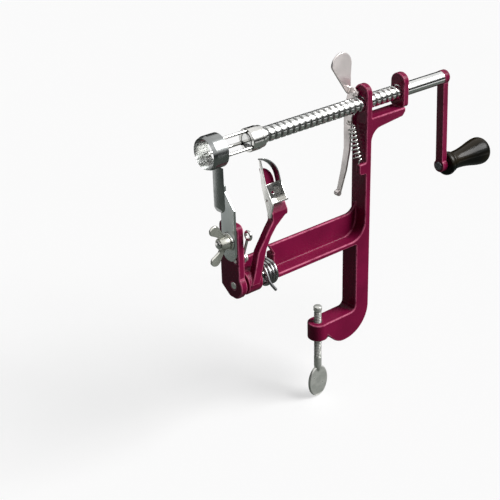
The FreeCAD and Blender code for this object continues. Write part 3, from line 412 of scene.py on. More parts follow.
class Finish(Enum):
    """Finishes of the peeler's pieces."""

    # The third colour of each enamel lies on its rounded edges: thin paint and painted highlight
    CASTING = Enamel("burgundy_enamel", (0.220, 0.007, 0.050), (0.165, 0.005, 0.038),
                     (0.55, 0.12, 0.22))
    GUARD = Enamel("guard_enamel", (0.240, 0.009, 0.058), (0.180, 0.006, 0.043),
                   (0.50, 0.10, 0.20), drift=160.0)
    SHAFT = Metal("plated_shaft", (0.86, 0.86, 0.84), (0.66, 0.67, 0.66), 0.10, 0.20,
                  lines=(0.1, 1.0, 1.0))
    PLATE = Metal("plated_fitting", (0.84, 0.83, 0.80), (0.60, 0.60, 0.58), 0.12, 0.26)
    NUT = Metal("zinc_nut", (0.84, 0.83, 0.76), (0.52, 0.52, 0.46), 0.16, 0.32, metallic=0.8)
    STRIP = Metal("satin_strip", (0.98, 0.91, 0.89), (0.86, 0.80, 0.78), 0.26, 0.40,
                  lines=(1.0, 1.0, 0.08), line_scale=1400.0, metallic=0.7)
    BRACKET = Metal("grey_bracket", (0.62, 0.64, 0.62), (0.42, 0.46, 0.45), 0.22, 0.36,
                    lines=(1.0, 1.0, 0.1), line_scale=1200.0, cloud_scale=45.0)
    SCREW = Metal("zinc_screw", (0.80, 0.80, 0.76), (0.50, 0.52, 0.48), 0.24, 0.42,
                  line_scale=700.0, cloud_scale=160.0, metallic=0.6)
    BLADE = Metal("ground_blade", (0.42, 0.43, 0.42), (0.24, 0.25, 0.25), 0.16, 0.30,
                  lines=(1.0, 0.06, 1.0), line_scale=2200.0, line_depth=0.00002)
    DARK_WIRE = Metal("oiled_wire", (0.46, 0.46, 0.46), (0.16, 0.16, 0.17), 0.18, 0.34,
                      line_scale=1500.0)
    BRIGHT_WIRE = Metal("bright_wire", (0.82, 0.81, 0.78), (0.55, 0.55, 0.53), 0.14, 0.28,
                        line_scale=1800.0)
    # Near-black steel on the crank pin: painted dark reflection of the pin's head
    BLACKED = Metal("dark_pin_steel", (0.13, 0.13, 0.14), (0.04, 0.04, 0.045), 0.18, 0.36,
                    cloud_scale=420.0)
    WOOD = VarnishedWood("varnished_wood", (0.004, 0.005, 0.0045), (0.022, 0.016, 0.008),
                         (0.002, 0.002, 0.0015))

    def material(self) -> bpy.types.Material:
        """Material of this finish, made once."""
        found = bpy.data.materials.get(self.value.name)
        return found or self.value.build()


# Mesh toolkit


def new_piece(name: str, points: Sequence[Vector], faces: Sequence[Sequence[int]],
              crease: float = 38.0) -> bpy.types.Object:
    """Object from points in millimetres.

    Args:
        name: the piece's name.
        points: its vertices.
        faces: its faces, as vertex numbers.
        crease: edges sharper than this angle in degrees stay sharp.

    Returns:
        The linked object.
    """
    mesh = bpy.data.meshes.new(name)
    mesh.from_pydata([Vector(point) * MM for point in points], [], faces)
    tidy = bmesh.new()
    tidy.from_mesh(mesh)
    bmesh.ops.recalc_face_normals(tidy, faces=tidy.faces)
    tidy.to_mesh(mesh)
    tidy.free()
    mesh.shade_smooth()
    mesh.set_sharp_from_angle(angle=math.radians(crease))
    piece = bpy.data.objects.new(name, mesh)
    bpy.context.scene.collection.objects.link(piece)
    return piece


def bands(rows: int, sides: int, loop: bool = False) -> list[Sequence[int]]:
    """Faces that join rings of points.

    Args:
        rows: how many rings there are.
        sides: points in each ring.
        loop: joins the last ring to the first; without it both ends are closed.

    Returns:
        The faces, as point numbers.
    """
    faces: list[Sequence[int]] = []
    for row in range(rows if loop else rows - 1):
        first, second = row * sides, (row + 1) % rows * sides
        for index in range(sides):
            after = (index + 1) % sides
            faces.append((first + index, first + after, second + after, second + index))
    if not loop:
        faces += [tuple(range(sides)), tuple(range((rows - 1) * sides, rows * sides))]
    return faces


def turned(name: str, profile: Sequence[Point], axis: Axis, centre: Vector, sides: int,
           groove: Optional[Callable[[float, float], float]] = None) -> bpy.types.Object:
    """Solid of revolution with closed ends.

    Args:
        name: the piece's name.
        profile: (along, radius) in millimetres from one end to the other.
        axis: the axis it stands on.
        centre: place that the profile counts from, in millimetres.
        sides: facets round the axis.
        groove: depth taken off the radius at (along, angle).

    Returns:
        The object.
    """
    points: list[Vector] = []
    cuts: list[float] = []
    for along, radius in profile:
        for index in range(sides):
            angle = 2 * math.pi * index / sides
            cuts.append(groove(along, angle) if groove else 0.0)
            points.append(centre + axis.place(along, max(radius - cuts[-1], LEAST_RADIUS), angle))
    piece = new_piece(name, points, bands(len(profile), sides))
    if groove:
        share = piece.data.attributes.new(SUNK_SHARE, "FLOAT", "POINT")
        deepest = max(cuts)
        share.data.foreach_set("value", [cut / deepest for cut in cuts])
    return piece


def hollow(name: str, profile: Sequence[Point], centre: Vector, sides: int,
           crease: float = 38.0) -> bpy.types.Object:
    """Ring about the X axis.

    Args:
        name: the piece's name.
        profile: (along, radius) in millimetres round its closed section.
        centre: place that the profile counts from, in millimetres.
        sides: facets round the axis.
        crease: edges sharper than this angle in degrees stay sharp.

    Returns:
        The object.
    """
    points = [centre + Axis.X.place(along, radius, 2 * math.pi * index / sides)
              for along, radius in profile for index in range(sides)]
    return new_piece(name, points, bands(len(profile), sides, loop=True), crease)


def tube(name: str, path: Sequence[Vector], radius: float, sides: int = 12) -> bpy.types.Object:
    """Round wire with domed ends.

    Args:
        name: the piece's name.
        path: its centre line in millimetres.
        radius: the wire's radius.
        sides: facets round the wire.

    Returns:
        The object.
    """
    ways = [(path[min(i + 1, len(path) - 1)] - path[max(i - 1, 0)]).normalized()
            for i in range(len(path))]
    side = ways[0].orthogonal().normalized()
    rise = radius * DOME_RISE
    rows = [(path[0] - ways[0] * rise, DOME_SHARE, ways[0])]
    rows += [(point, 1.0, way) for point, way in zip(path, ways)]
    rows.append((path[-1] + ways[-1] * rise, DOME_SHARE, ways[-1]))
    points: list[Vector] = []
    for point, share, way in rows:
        side = (side - way * side.dot(way)).normalized()
        other = way.cross(side)
        for index in range(sides):
            angle = 2 * math.pi * index / sides
            spoke = side * math.cos(angle) + other * math.sin(angle)
            points.append(point + spoke * radius * share)
    return new_piece(name, points, bands(len(rows), sides))


def thread_phase(along: float, angle: float, lead: float) -> float:
    """Place within one turn of a right-handed thread.

    Args:
        along: place along the axis.
        angle: turn about it in radians.
        lead: travel in one turn.

    Returns:
        Share of 0 to 1 of the turn.
    """
    return (along / lead - angle / (2 * math.pi)) % 1.0


def curve_between(start: Vector, start_way: Vector, end: Vector, end_way: Vector,
                  pull: float, steps: int = 10) -> list[Vector]:
    """Smooth curve from one point to another.

    Args:
        start: where it starts.
        start_way: unit direction in which it leaves.
        end: where it ends.
        end_way: unit direction in which it arrives.
        pull: how far the two directions hold, in millimetres.
        steps: points after the start.

    Returns:
        The points, without the start.
    """
    points = []
    for index in range(1, steps + 1):
        t = index / steps
        leave, arrive = t ** 3 - 2 * t ** 2 + t, t ** 3 - t ** 2
        passed = 3 * t ** 2 - 2 * t ** 3
        points.append(start * (1 - passed) + start_way * pull * leave
                      + end * passed + end_way * pull * arrive)
    return points


def coil(centre: Vector, axis: Vector, across: Vector, radius: float, pitch: float,
         first: float, last: float, steps: int = 24) -> list[Vector]:
    """Points of a helix.

    Args:
        centre: start of its axis.
        axis: unit direction in which it climbs.
        across: unit direction of angle 0.
        radius: radius of the wire's centre line.
        pitch: climb in one turn.
        first: angle at which it starts.
        last: angle at which it ends; below first it winds the other way.
        steps: points in one turn.

    Returns:
        The points.
    """
    side = axis.cross(across)
    count = max(int(abs(last - first) / (2 * math.pi) * steps), 1)
    points = []
    for index in range(count + 1):
        angle = first + (last - first) * index / count
        climb = pitch * abs(angle - first) / (2 * math.pi)
        spoke = across * math.cos(angle) + side * math.sin(angle)
        points.append(centre + axis * climb + spoke * radius)
    return points


def prism(name: str, outline: Sequence[Point], low: float, high: float,
          lay: Callable[[float, float, float], Vector]) -> bpy.types.Object:
    """Flat plate with this outline between two heights.

    Args:
        name: the piece's name.
        outline: (u, v) corners in order.
        low: first height.
        high: second height.
        lay: turns (u, v, height) into a place in millimetres.

    Returns:
        The object.
    """
    count = len(outline)
    points = [lay(u, v, height) for height in (low, high) for u, v in outline]
    faces: list[Sequence[int]] = [tuple(range(count)), tuple(range(count, 2 * count))]
    faces += [(i, (i + 1) % count, count + (i + 1) % count, count + i) for i in range(count)]
    return new_piece(name, points, faces)


def smooth_through(corners: Sequence[Point], steps: int) -> list[Point]:
    """Smooth curve from the second corner to the last but one.

    Args:
        corners: points that it passes through, and one more before and after them.
        steps: points from one corner to the next.

    Returns:
        The points, without the last corner.
    """
    points = []
    for stretch in zip(corners, corners[1:], corners[2:], corners[3:]):
        for step in range(steps):
            t = step / steps
            points.append(tuple(
                0.5 * (2 * b + (c - a) * t + (2 * a - 5 * b + 4 * c - d) * t ** 2
                       + (3 * b - a - 3 * c + d) * t ** 3) for a, b, c, d in zip(*stretch)))
    return points


def merge(base: bpy.types.Object, others: Sequence[bpy.types.Object]) -> bpy.types.Object:
    """Joins other pieces' meshes into the base piece.

    Args:
        base: the piece that stays.
        others: the pieces that go into it.

    Returns:
        The base piece.
    """
    with bpy.context.temp_override(active_object=base, object=base,
                                   selected_editable_objects=[base, *others],
                                   selected_objects=[base, *others]):
        bpy.ops.object.join()
    return base


def settle(piece: bpy.types.Object) -> bpy.types.Mesh:
    """Applies a piece's modifiers.

    Args:
        piece: the object.

    Returns:
        Its new mesh.
    """
    bpy.context.view_layer.update()
    seen = piece.evaluated_get(bpy.context.evaluated_depsgraph_get())
    piece.data = bpy.data.meshes.new_from_object(seen)
    piece.modifiers.clear()
    return piece.data


def mend(mesh: bpy.types.Mesh, plain: BVHTree, reach: float) -> None:
    """Welds away the vertices that rounding threw off, and splits the faces that it bent.

    Args:
        mesh: the rounded mesh.
        plain: the mesh before its edges were rounded.
        reach: farthest that rounding may take a vertex, in metres.
    """
    tidy = bmesh.new()
    tidy.from_mesh(mesh)
    astray = [vertex for vertex in tidy.verts if plain.find_nearest(vertex.co)[3] > reach]
    welds = {}
    for vertex in astray:
        near = [edge.other_vert(vertex) for edge in vertex.link_edges]
        near = [other for other in near if other not in astray]
        if near:
            welds[vertex] = min(near, key=lambda other: (other.co - vertex.co).length)
        else:
            vertex.co = plain.find_nearest(vertex.co)[0]
    bmesh.ops.weld_verts(tidy, targetmap=welds)
    bent = []
    for face in tidy.faces:
        middle = face.calc_center_median()
        off = max(abs((corner.co - middle).dot(face.normal)) for corner in face.verts)
        if len(face.verts) > 4 and off > BENT_FACE:
            bent.append(face)
    bmesh.ops.triangulate(tidy, faces=bent)
    tidy.to_mesh(mesh)
    tidy.free()


def soften(piece: bpy.types.Object, width: float, segments: int = 3,
           angle: float = 30.0) -> bpy.types.Object:
    """Rounds a piece's sharp edges in its mesh.

    Args:
        piece: the object.
        width: width of the rounding in millimetres.
        segments: facets across the rounding.
        angle: edges sharper than this, in degrees, are rounded.

    Returns:
        The same object.
    """
    tidy = bmesh.new()
    tidy.from_mesh(piece.data)
    bmesh.ops.remove_doubles(tidy, verts=tidy.verts, dist=SAME_SPOT)
    bmesh.ops.dissolve_limit(tidy, angle_limit=SAME_PLANE, verts=tidy.verts, edges=tidy.edges)
    tidy.to_mesh(piece.data)
    plain = BVHTree.FromBMesh(tidy)
    tidy.free()
    piece.data.materials.clear()
    # The second of these two slots marks the rounding's faces, until the end below
    for _ in range(2):
        piece.data.materials.append(None)
    bevel = piece.modifiers.new("rounding", "BEVEL")
    bevel.width = width * MM
    bevel.use_clamp_overlap = False
    bevel.segments = segments
    bevel.material = 1
    bevel.limit_method = "ANGLE"
    bevel.angle_limit = math.radians(angle)
    bevel.miter_outer = "MITER_ARC"
    mesh = settle(piece)
    mend(mesh, plain, ASTRAY_SHARE * width * MM)
    mesh.shade_smooth()
    weighted = piece.modifiers.new("shading", "WEIGHTED_NORMAL")
    weighted.keep_sharp = False
    weighted.weight = AREA_WEIGHT
    mesh = settle(piece)
    share = mesh.attributes.new(EDGE_SHARE, "FLOAT", "FACE")
    for face in mesh.polygons:
        share.data[face.index].value = float(face.material_index)
        face.material_index = 0
    return piece


def dress(piece: bpy.types.Object, body: str, slot: str, finish: Finish, *nodes: str) -> None:
    """Gives a piece its finish and its body.

    Args:
        piece: the object.
        body: the body that it moves with.
        slot: the record's material slot for its finish; not used.
        finish: the finish.
        *nodes: the CAD nodes that it stands for.
    """
    piece.data.materials.clear()
    piece.data.materials.append(finish.material())
    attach(piece, body)
    if nodes:
        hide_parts(*nodes)
    log.info("%s rides on %s", piece.name, body)


def round_off(node: str, width: float, body: str, slot: str, finish: Finish,
              segments: int = 3) -> None:
    """Puts a copy with rounded edges in a CAD node's place.

    Args:
        node: the node's name.
        width: width of the rounding in millimetres.
        body: the body that it moves with.
        slot: the record's material slot for its finish.
        finish: the finish.
        segments: facets across the rounding.
    """
    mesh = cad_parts[node].data.copy()
    mesh.materials.clear()
    piece = bpy.data.objects.new(f"{node}.fine", mesh)
    bpy.context.scene.collection.objects.link(piece)
    mesh.shade_smooth()
    dress(soften(piece, width, segments), body, slot, finish, node)


def refinish(node: str, finish: Finish) -> None:
    """Gives a CAD node that keeps its shape a better finish.

    Args:
        node: the node's name.
        finish: the finish.
    """
    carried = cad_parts[node]
    if not carried.material_slots:
        carried.data.materials.append(None)
    for holder in carried.material_slots:
        holder.link = "OBJECT"
        holder.material = finish.material()
    log.info("%s keeps its shape", node)


# Sub-assemblies, with lengths in millimetres


@dataclass
class CastFrame:
    """Painted casting that clamps to the table, with the lever's rivet and spacer."""

    rounding: float = 0.9
    rivet_rounding: float = 0.25

    def build(self) -> None:
        """Builds the casting and its small fittings."""
        round_off("clamp_frame", self.rounding, "frame", "cast_paint", Finish.CASTING)
        round_off("lever_rivet", self.rivet_rounding, "frame", "strip_steel", Finish.STRIP)
        refinish("lever_spacer", Finish.STRIP)


@dataclass
class FeedShaft:
    """Shaft with a broad-crested feed thread, its plain end and its riveted tip."""

    height: float = SHAFT_HEIGHT
    left: float = -57.9
    thread_left: float = -47.0
    thread_right: float = 74.0
    crank_left: float = 115.0
    end: float = 120.5
    radius: float = 5.0
    plain: float = 4.65
    seat: float = 3.2
    lead: float = 4.8
    depth: float = 0.9
    flank: float = 0.07
    gap: float = 0.42
    fade: float = 4.0
    step: float = 0.2
    runout: float = 0.3
    chamfer: float = 0.4
    shoulder_chamfer: float = 0.3
    tip_round: float = 0.5
    tip_knee: float = 0.4
    tip_share: float = 0.45
    sides: int = 64

    def groove(self, along: float, angle: float) -> float:
        """Depth of the thread's groove at a place on the shaft.

        Args:
            along: place along the shaft in millimetres.
            angle: turn about it in radians.

        Returns:
            The depth in millimetres.
        """
        if not self.thread_left < along < self.thread_right:
            return 0.0
        off = abs(thread_phase(along, angle, self.lead) - 0.5) - self.gap / 2
        share = min(max(0.5 - off / self.flank, 0.0), 1.0)
        near = min(along - self.thread_left, self.thread_right - along)
        return self.depth * share * share * (3 - 2 * share) * min(near / self.fade, 1.0)

    def build(self) -> None:
        """Builds the shaft."""
        profile: list[Point] = [(self.left, self.plain - self.chamfer),
                                (self.left + self.chamfer, self.plain),
                                (self.thread_left, self.plain),
                                (self.thread_left + self.step, self.radius - self.step / 2)]
        count = int((self.thread_right - self.thread_left - 2 * self.runout) / self.step)
        profile += [(self.thread_left + self.runout + self.step * i, self.radius)
                    for i in range(count + 1)]
        profile += [(self.thread_right, self.plain),
                    (self.crank_left - self.shoulder_chamfer, self.plain),
                    (self.crank_left, self.plain - self.shoulder_chamfer),
                    (self.crank_left, self.seat), (self.end - self.tip_round, self.seat),
                    (self.end - self.tip_knee * self.tip_round, self.seat - self.tip_round),
                    (self.end, self.seat * self.tip_share)]
        shaft = turned("feed_shaft", profile, Axis.X, Vector((0, 0, self.height)), self.sides,
                       self.groove)
        dress(shaft, "crank", "plated_steel", Finish.SHAFT, "crank_shaft")


@dataclass
class Fork:
    """Three prongs in a hub, with the collar behind it."""

    rounding: float = 0.5
    prongs: int = 3

    def build(self) -> None:
        """Builds the fork and its collar."""
        round_off("fork_hub", self.rounding, "crank", "plated_steel", Finish.PLATE)
        for index in range(self.prongs):
            refinish(f"fork_prong_{index + 1}", Finish.PLATE)
        round_off("fork_collar", self.rounding, "feed_collar", "plated_steel", Finish.PLATE)


@dataclass
class Crank:
    """Painted crank arm with the riveted pin and the turned wooden grip."""

    rounding: float = 0.55
    pin_rounding: float = 0.3
    grip_left: float = 120.4
    pin_y: float = -2.6
    pin_z: float = 32.6
    hole: float = 34.4
    hole_tip: float = 0.3
    sides: int = 80
    profile: tuple[Point, ...] = (
        (0.0, 2.56), (0.0, 7.2), (0.25, 8.0), (0.9, 8.55), (1.8, 8.75), (2.9, 8.75), (3.8, 8.5),
        (4.5, 8.0), (4.8, 7.35), (5.0, 7.1), (5.3, 7.35), (5.9, 7.62), (6.6, 7.6), (7.1, 7.3),
        (7.4, 6.85), (8.4, 6.6), (10.0, 6.5), (12.5, 6.5), (15.5, 6.65), (19.0, 7.0), (23.0, 7.65),
        (27.0, 8.45), (31.0, 9.3), (34.5, 9.9), (36.8, 10.1), (38.8, 9.9), (40.6, 9.05),
        (41.9, 7.6), (42.6, 5.6), (42.9, 3.0), (43.0, 0.6))

    def build(self) -> None:
        """Builds the arm, the pin and the grip."""
        round_off("crank_arm", self.rounding, "crank", "cast_paint", Finish.CASTING)
        # The pin's near-black finish paints in the dark reflection of its head
        round_off("handle_pin", self.pin_rounding, "crank", "plated_steel", Finish.BLACKED)
        bore, rim = self.profile[0][1], self.profile[1:]
        inside = [(self.hole, self.hole_tip), (self.hole, bore), (0.0, bore)]
        outside = [*smooth_through([rim[0], *rim, rim[-1]], steps=3), rim[-1]]
        grip = turned("grip", inside + outside, Axis.X,
                      Vector((self.grip_left, self.pin_y, self.pin_z)), self.sides)
        dress(grip, "grip", "turned_wood", Finish.WOOD, "handle_grip")


@dataclass
class ReleaseLever:
    """Folded strip lever with its half nut, and the pull spring that closes it."""

    rounding: float = 0.3
    strip: float = 1.5
    left: float = 34.6
    wire: float = 1.1
    coil_x: float = 32.4
    coil_y: float = 1.9
    coil_z: float = 82.4
    slope: float = 0.263
    coil_radius: float = 2.5
    pitch: float = 2.72
    turns: float = 8.0
    hook_y: float = 7.4
    hook_z: float = 83.6
    foot_y: float = -5.1
    foot_z: float = 58.0
    pull: float = 7.0

    def build(self) -> None:
        """Builds the lever and its spring."""
        round_off("release_lever", self.rounding, "lever", "strip_steel", Finish.STRIP, segments=2)
        dress(tube("pull_spring", self.spring_path(), self.wire / 2), "frame", "spring_wire",
              Finish.BRIGHT_WIRE, "lever_spring")

    def spring_path(self) -> list[Vector]:
        """Centre line of the wire.

        Returns:
            Its points in millimetres, from the lever's hole to the lug.
        """
        axis = Vector((0.0, -math.sin(self.slope), -math.cos(self.slope)))
        across = Vector((1.0, 0.0, 0.0))
        top = Vector((self.coil_x, self.coil_y, self.coil_z))
        winding = coil(top, axis, across, self.coil_radius, self.pitch, 0.0,
                       2 * math.pi * self.turns)
        left = -across
        hook = Vector((self.left + self.strip + self.wire, self.hook_y, self.hook_z))
        bend = Vector((self.left - self.wire, self.hook_y, self.hook_z))
        first_way = (winding[1] - winding[0]).normalized()
        last_way = (winding[-1] - winding[-2]).normalized()
        foot = Vector((self.coil_x, self.foot_y, self.foot_z + self.wire))
        down = Vector((0.0, 0.0, -1.0))
        path = [hook, (hook + bend) / 2, bend]
        path += curve_between(bend, left, winding[0], first_way, self.pull)
        path += winding[1:]
        path += curve_between(winding[-1], last_way, foot, down, self.pull)
        return path + [foot + down * self.wire]


@dataclass
class Slicer:
    """Slotted bracket with the slicing blade, the coring ring, bolt, washer and wing nut."""

    rounding: float = 0.3
    washer_rounding: float = 0.2
    plate_left: float = -80.1
    height: float = SHAFT_HEIGHT
    blade_bottom: float = 57.6
    blade_top: float = 87.1
    blade_half: float = 5.0
    blade_thickness: float = 0.8
    blade_rows: int = 24
    edge: float = 2.2
    edge_thickness: float = 0.1
    back_slope: Point = (0.3, 0.2)
    end_round: float = 3.0
    end_inset: float = 2.6
    ring_left: float = -90.2
    ring_right: float = -79.2
    ring_bore: float = 9.6
    ring_wall: float = 0.9
    ring_bevel: float = 2.4
    ring_edge: float = 0.12
    ring_chamfer: float = 0.2
    ring_sides: int = 96
    bolt_y: float = -7.0
    bolt_z: float = 40.0
    bolt_radius: float = 2.4
    bolt_left: float = -88.8
    bolt_tip: Point = (0.3, 0.5)
    bolt_head_left: float = -73.5
    bolt_head: tuple[Point, ...] = (
        (0.0, 4.0), (0.7, 3.95), (1.4, 3.3), (1.9, 2.3), (2.2, 1.0))
    bolt_pitch: float = 0.8
    bolt_thread: float = 0.34
    bolt_step: float = 0.1
    bolt_play: float = 0.05
    sides: int = 48
    nut_right: float = -81.5
    nut_hub: tuple[Point, ...] = ((-6.0, 3.5), (-5.7, 3.75), (-0.3, 4.5), (0.0, 4.3))
    wing: tuple[Point, ...] = (
        (-0.8, 2.8), (-0.9, 4.4), (-2.6, 6.6), (-4.4, 9.2), (-6.2, 12.2), (-8.4, 13.5),
        (-11.0, 12.9), (-12.7, 10.6), (-11.8, 8.0), (-9.0, 6.4), (-6.6, 4.8), (-5.4, 2.8))
    wing_half: float = 0.95
    wing_rounding: float = 0.75

    def build(self) -> None:
        """Builds the slicer's pieces."""
        round_off("slicer_bracket", self.rounding, "slicer", "strip_steel",
                  Finish.BRACKET, segments=2)
        dress(self.blade(), "slicer", "blade_steel", Finish.BLADE, "slicing_blade")
        dress(self.ring(), "slicer", "blade_steel", Finish.BLADE, "corer_ring")
        dress(self.bolt(), "frame", "plated_steel", Finish.PLATE, "slicer_bolt")
        round_off("slicer_washer", self.washer_rounding, "washer", "plated_steel", Finish.PLATE)
        dress(self.nut(), "wing_nut", "plated_steel", Finish.NUT, "slicer_wing_nut")

    def blade(self) -> bpy.types.Object:
        """Blade whose front edge is ground thin.

        Returns:
            The object.
        """
        low, high, half = self.blade_bottom, self.blade_top, self.blade_half
        thin, (slope, fall) = self.blade_thickness, self.back_slope
        section = [(-half, -self.edge_thickness), (-half + self.edge, -thin),
                   (half - slope, -thin), (half, -thin + fall), (half, 0.0), (-half, 0.0)]
        points = []
        for row in range(self.blade_rows + 1):
            z = low + (high - low) * row / self.blade_rows
            inset = self.end_inset * max(0.0, 1 - (z - low) / self.end_round) ** 2
            for y, x in section:
                y = min(max(y, -half + inset), half - inset)
                points.append(Vector((self.plate_left + x, y, z)))
        faces = bands(self.blade_rows + 1, len(section))
        return new_piece("slicing_blade.fine", points, faces, crease=20.0)

    def ring(self) -> bpy.types.Object:
        """Coring ring with its free edge ground sharp.

        Returns:
            The object.
        """
        bore, outer, chamfer = self.ring_bore, self.ring_bore + self.ring_wall, self.ring_chamfer
        profile = [(self.ring_left, bore), (self.ring_left, bore + self.ring_edge),
                   (self.ring_left + self.ring_bevel, outer), (self.ring_right - chamfer, outer),
                   (self.ring_right, outer - chamfer), (self.ring_right, bore)]
        centre = Vector((0, 0, self.height))
        return hollow("corer_ring.fine", profile, centre, self.ring_sides, crease=12.0)

    def thread(self, along: float, angle: float) -> float:
        """Depth of the bolt's thread.

        Args:
            along: place along the bolt in millimetres.
            angle: turn about it in radians.

        Returns:
            The depth in millimetres.
        """
        if not self.bolt_left + self.bolt_tip[0] < along < self.plate_left:
            return 0.0
        return self.bolt_thread * abs(2 * thread_phase(along, angle, self.bolt_pitch) - 1)

    def bolt(self) -> bpy.types.Object:
        """Round-headed bolt with a cut thread on its free end.

        Returns:
            The object.
        """
        radius, head, (slope, fall) = self.bolt_radius, self.bolt_head_left, self.bolt_tip
        count = int((self.plate_left - self.bolt_left) / self.bolt_step)
        profile = [(self.bolt_left, radius - fall)]
        profile += [(self.bolt_left + slope + self.bolt_step * i, radius) for i in range(count)]
        profile.append((head, radius))
        profile += [(head + along, out) for along, out in self.bolt_head]
        return turned("slicer_bolt.fine", profile, Axis.X, Vector((0, self.bolt_y, self.bolt_z)),
                      self.sides, self.thread)

    def nut(self) -> bpy.types.Object:
        """Wing nut with two rounded ears.

        Returns:
            The object.
        """
        centre = Vector((self.nut_right, self.bolt_y, self.bolt_z))
        bore = self.bolt_radius + self.bolt_play
        profile = [(self.nut_hub[0][0], bore), *self.nut_hub, (self.nut_hub[-1][0], bore)]
        hub = hollow("slicer_wing_nut.fine", profile, centre, self.sides)
        outline = smooth_through([self.wing[-1], *self.wing, *self.wing[:2]], steps=6)
        wings = []
        for side in (1.0, -1.0):
            wing = prism("wing", outline, -self.wing_half, self.wing_half,
                         lambda u, v, w, side=side: centre + Vector((u, w, v * side)))
            wings.append(soften(wing, self.wing_rounding, angle=40.0))
        return merge(hub, wings)


@dataclass
class PeelingArm:
    """Cast arm with its pin, clip and torsion spring."""

    rounding: float = 0.7
    pin_rounding: float = 0.4
    clip_rounding: float = 0.25
    wire: float = 2.0
    right: float = -48.3
    axis_y: float = -8.0
    axis_z: float = 8.8
    radius: float = 7.3
    pitch: float = 2.6
    turns: float = 3.0
    leave: float = 152.0
    rib_face: float = 2.35
    rib_run: float = 6.0
    knee: float = 5.0
    drift: float = 2.6
    leg_end: float = 1.7

    def build(self) -> None:
        """Builds the arm and what it swings on."""
        round_off("peeling_arm", self.rounding, "arm", "cast_paint", Finish.CASTING)
        round_off("arm_pivot_pin", self.pin_rounding, "frame", "plated_steel", Finish.PLATE)
        round_off("arm_pin_clip", self.clip_rounding, "frame", "plated_steel", Finish.PLATE)
        dress(tube("torsion_spring", self.spring_path(), self.wire / 2, sides=16), "frame",
              "spring_wire", Finish.DARK_WIRE, "arm_spring")

    def spring_path(self) -> list[Vector]:
        """Centre line of the wire.

        Returns:
            Its points in millimetres, from the rib, round the pin and down the free leg.
        """
        centre = Vector((self.right, self.axis_y, self.axis_z))
        axis, across = Vector((-1.0, 0.0, 0.0)), Vector((0.0, 1.0, 0.0))
        front = -across
        extra = math.radians(self.leave - 90.0)
        last = -math.pi / 2 - 2 * math.pi * self.turns - extra
        winding = coil(centre, axis, across, self.radius, self.pitch, -math.pi / 2, last,
                       steps=32)
        rib = Vector((self.right, self.rib_face, self.axis_z + self.radius))
        angle = math.radians(self.leave)
        down = Vector((0.0, -math.sin(angle), math.cos(angle)))
        knee = winding[-1] + down * self.knee
        length = (knee.z - self.leg_end) / -down.z
        end = knee + down * length + Vector((self.drift, 0.0, 0.0))
        path = [rib, rib + front * self.rib_run / 2, rib + front * self.rib_run, *winding[1:]]
        path += [winding[-1] + down * self.knee / 2, knee]
        return path + curve_between(knee, down, end, (end - knee).normalized(), length, steps=8)


@dataclass
class PeelingHead:
    """Plated blade holder with the curved blade and the painted guard."""

    rounding: float = 0.25
    guard_rounding: float = 0.3

    def build(self) -> None:
        """Builds the head."""
        round_off("blade_holder", self.rounding, "arm", "plated_steel", Finish.PLATE, segments=2)
        round_off("peeling_blade", self.rounding, "arm", "blade_steel", Finish.BLADE, segments=2)
        round_off("depth_guard", self.guard_rounding, "arm", "cast_paint", Finish.GUARD, segments=2)


@dataclass
class ArmLatch:
    """Wire latch that hangs on its rivet."""

    rivet_rounding: float = 0.25

    def build(self) -> None:
        """Builds the latch."""
        refinish("arm_latch", Finish.BRIGHT_WIRE)
        round_off("latch_rivet", self.rivet_rounding, "frame", "strip_steel", Finish.STRIP)


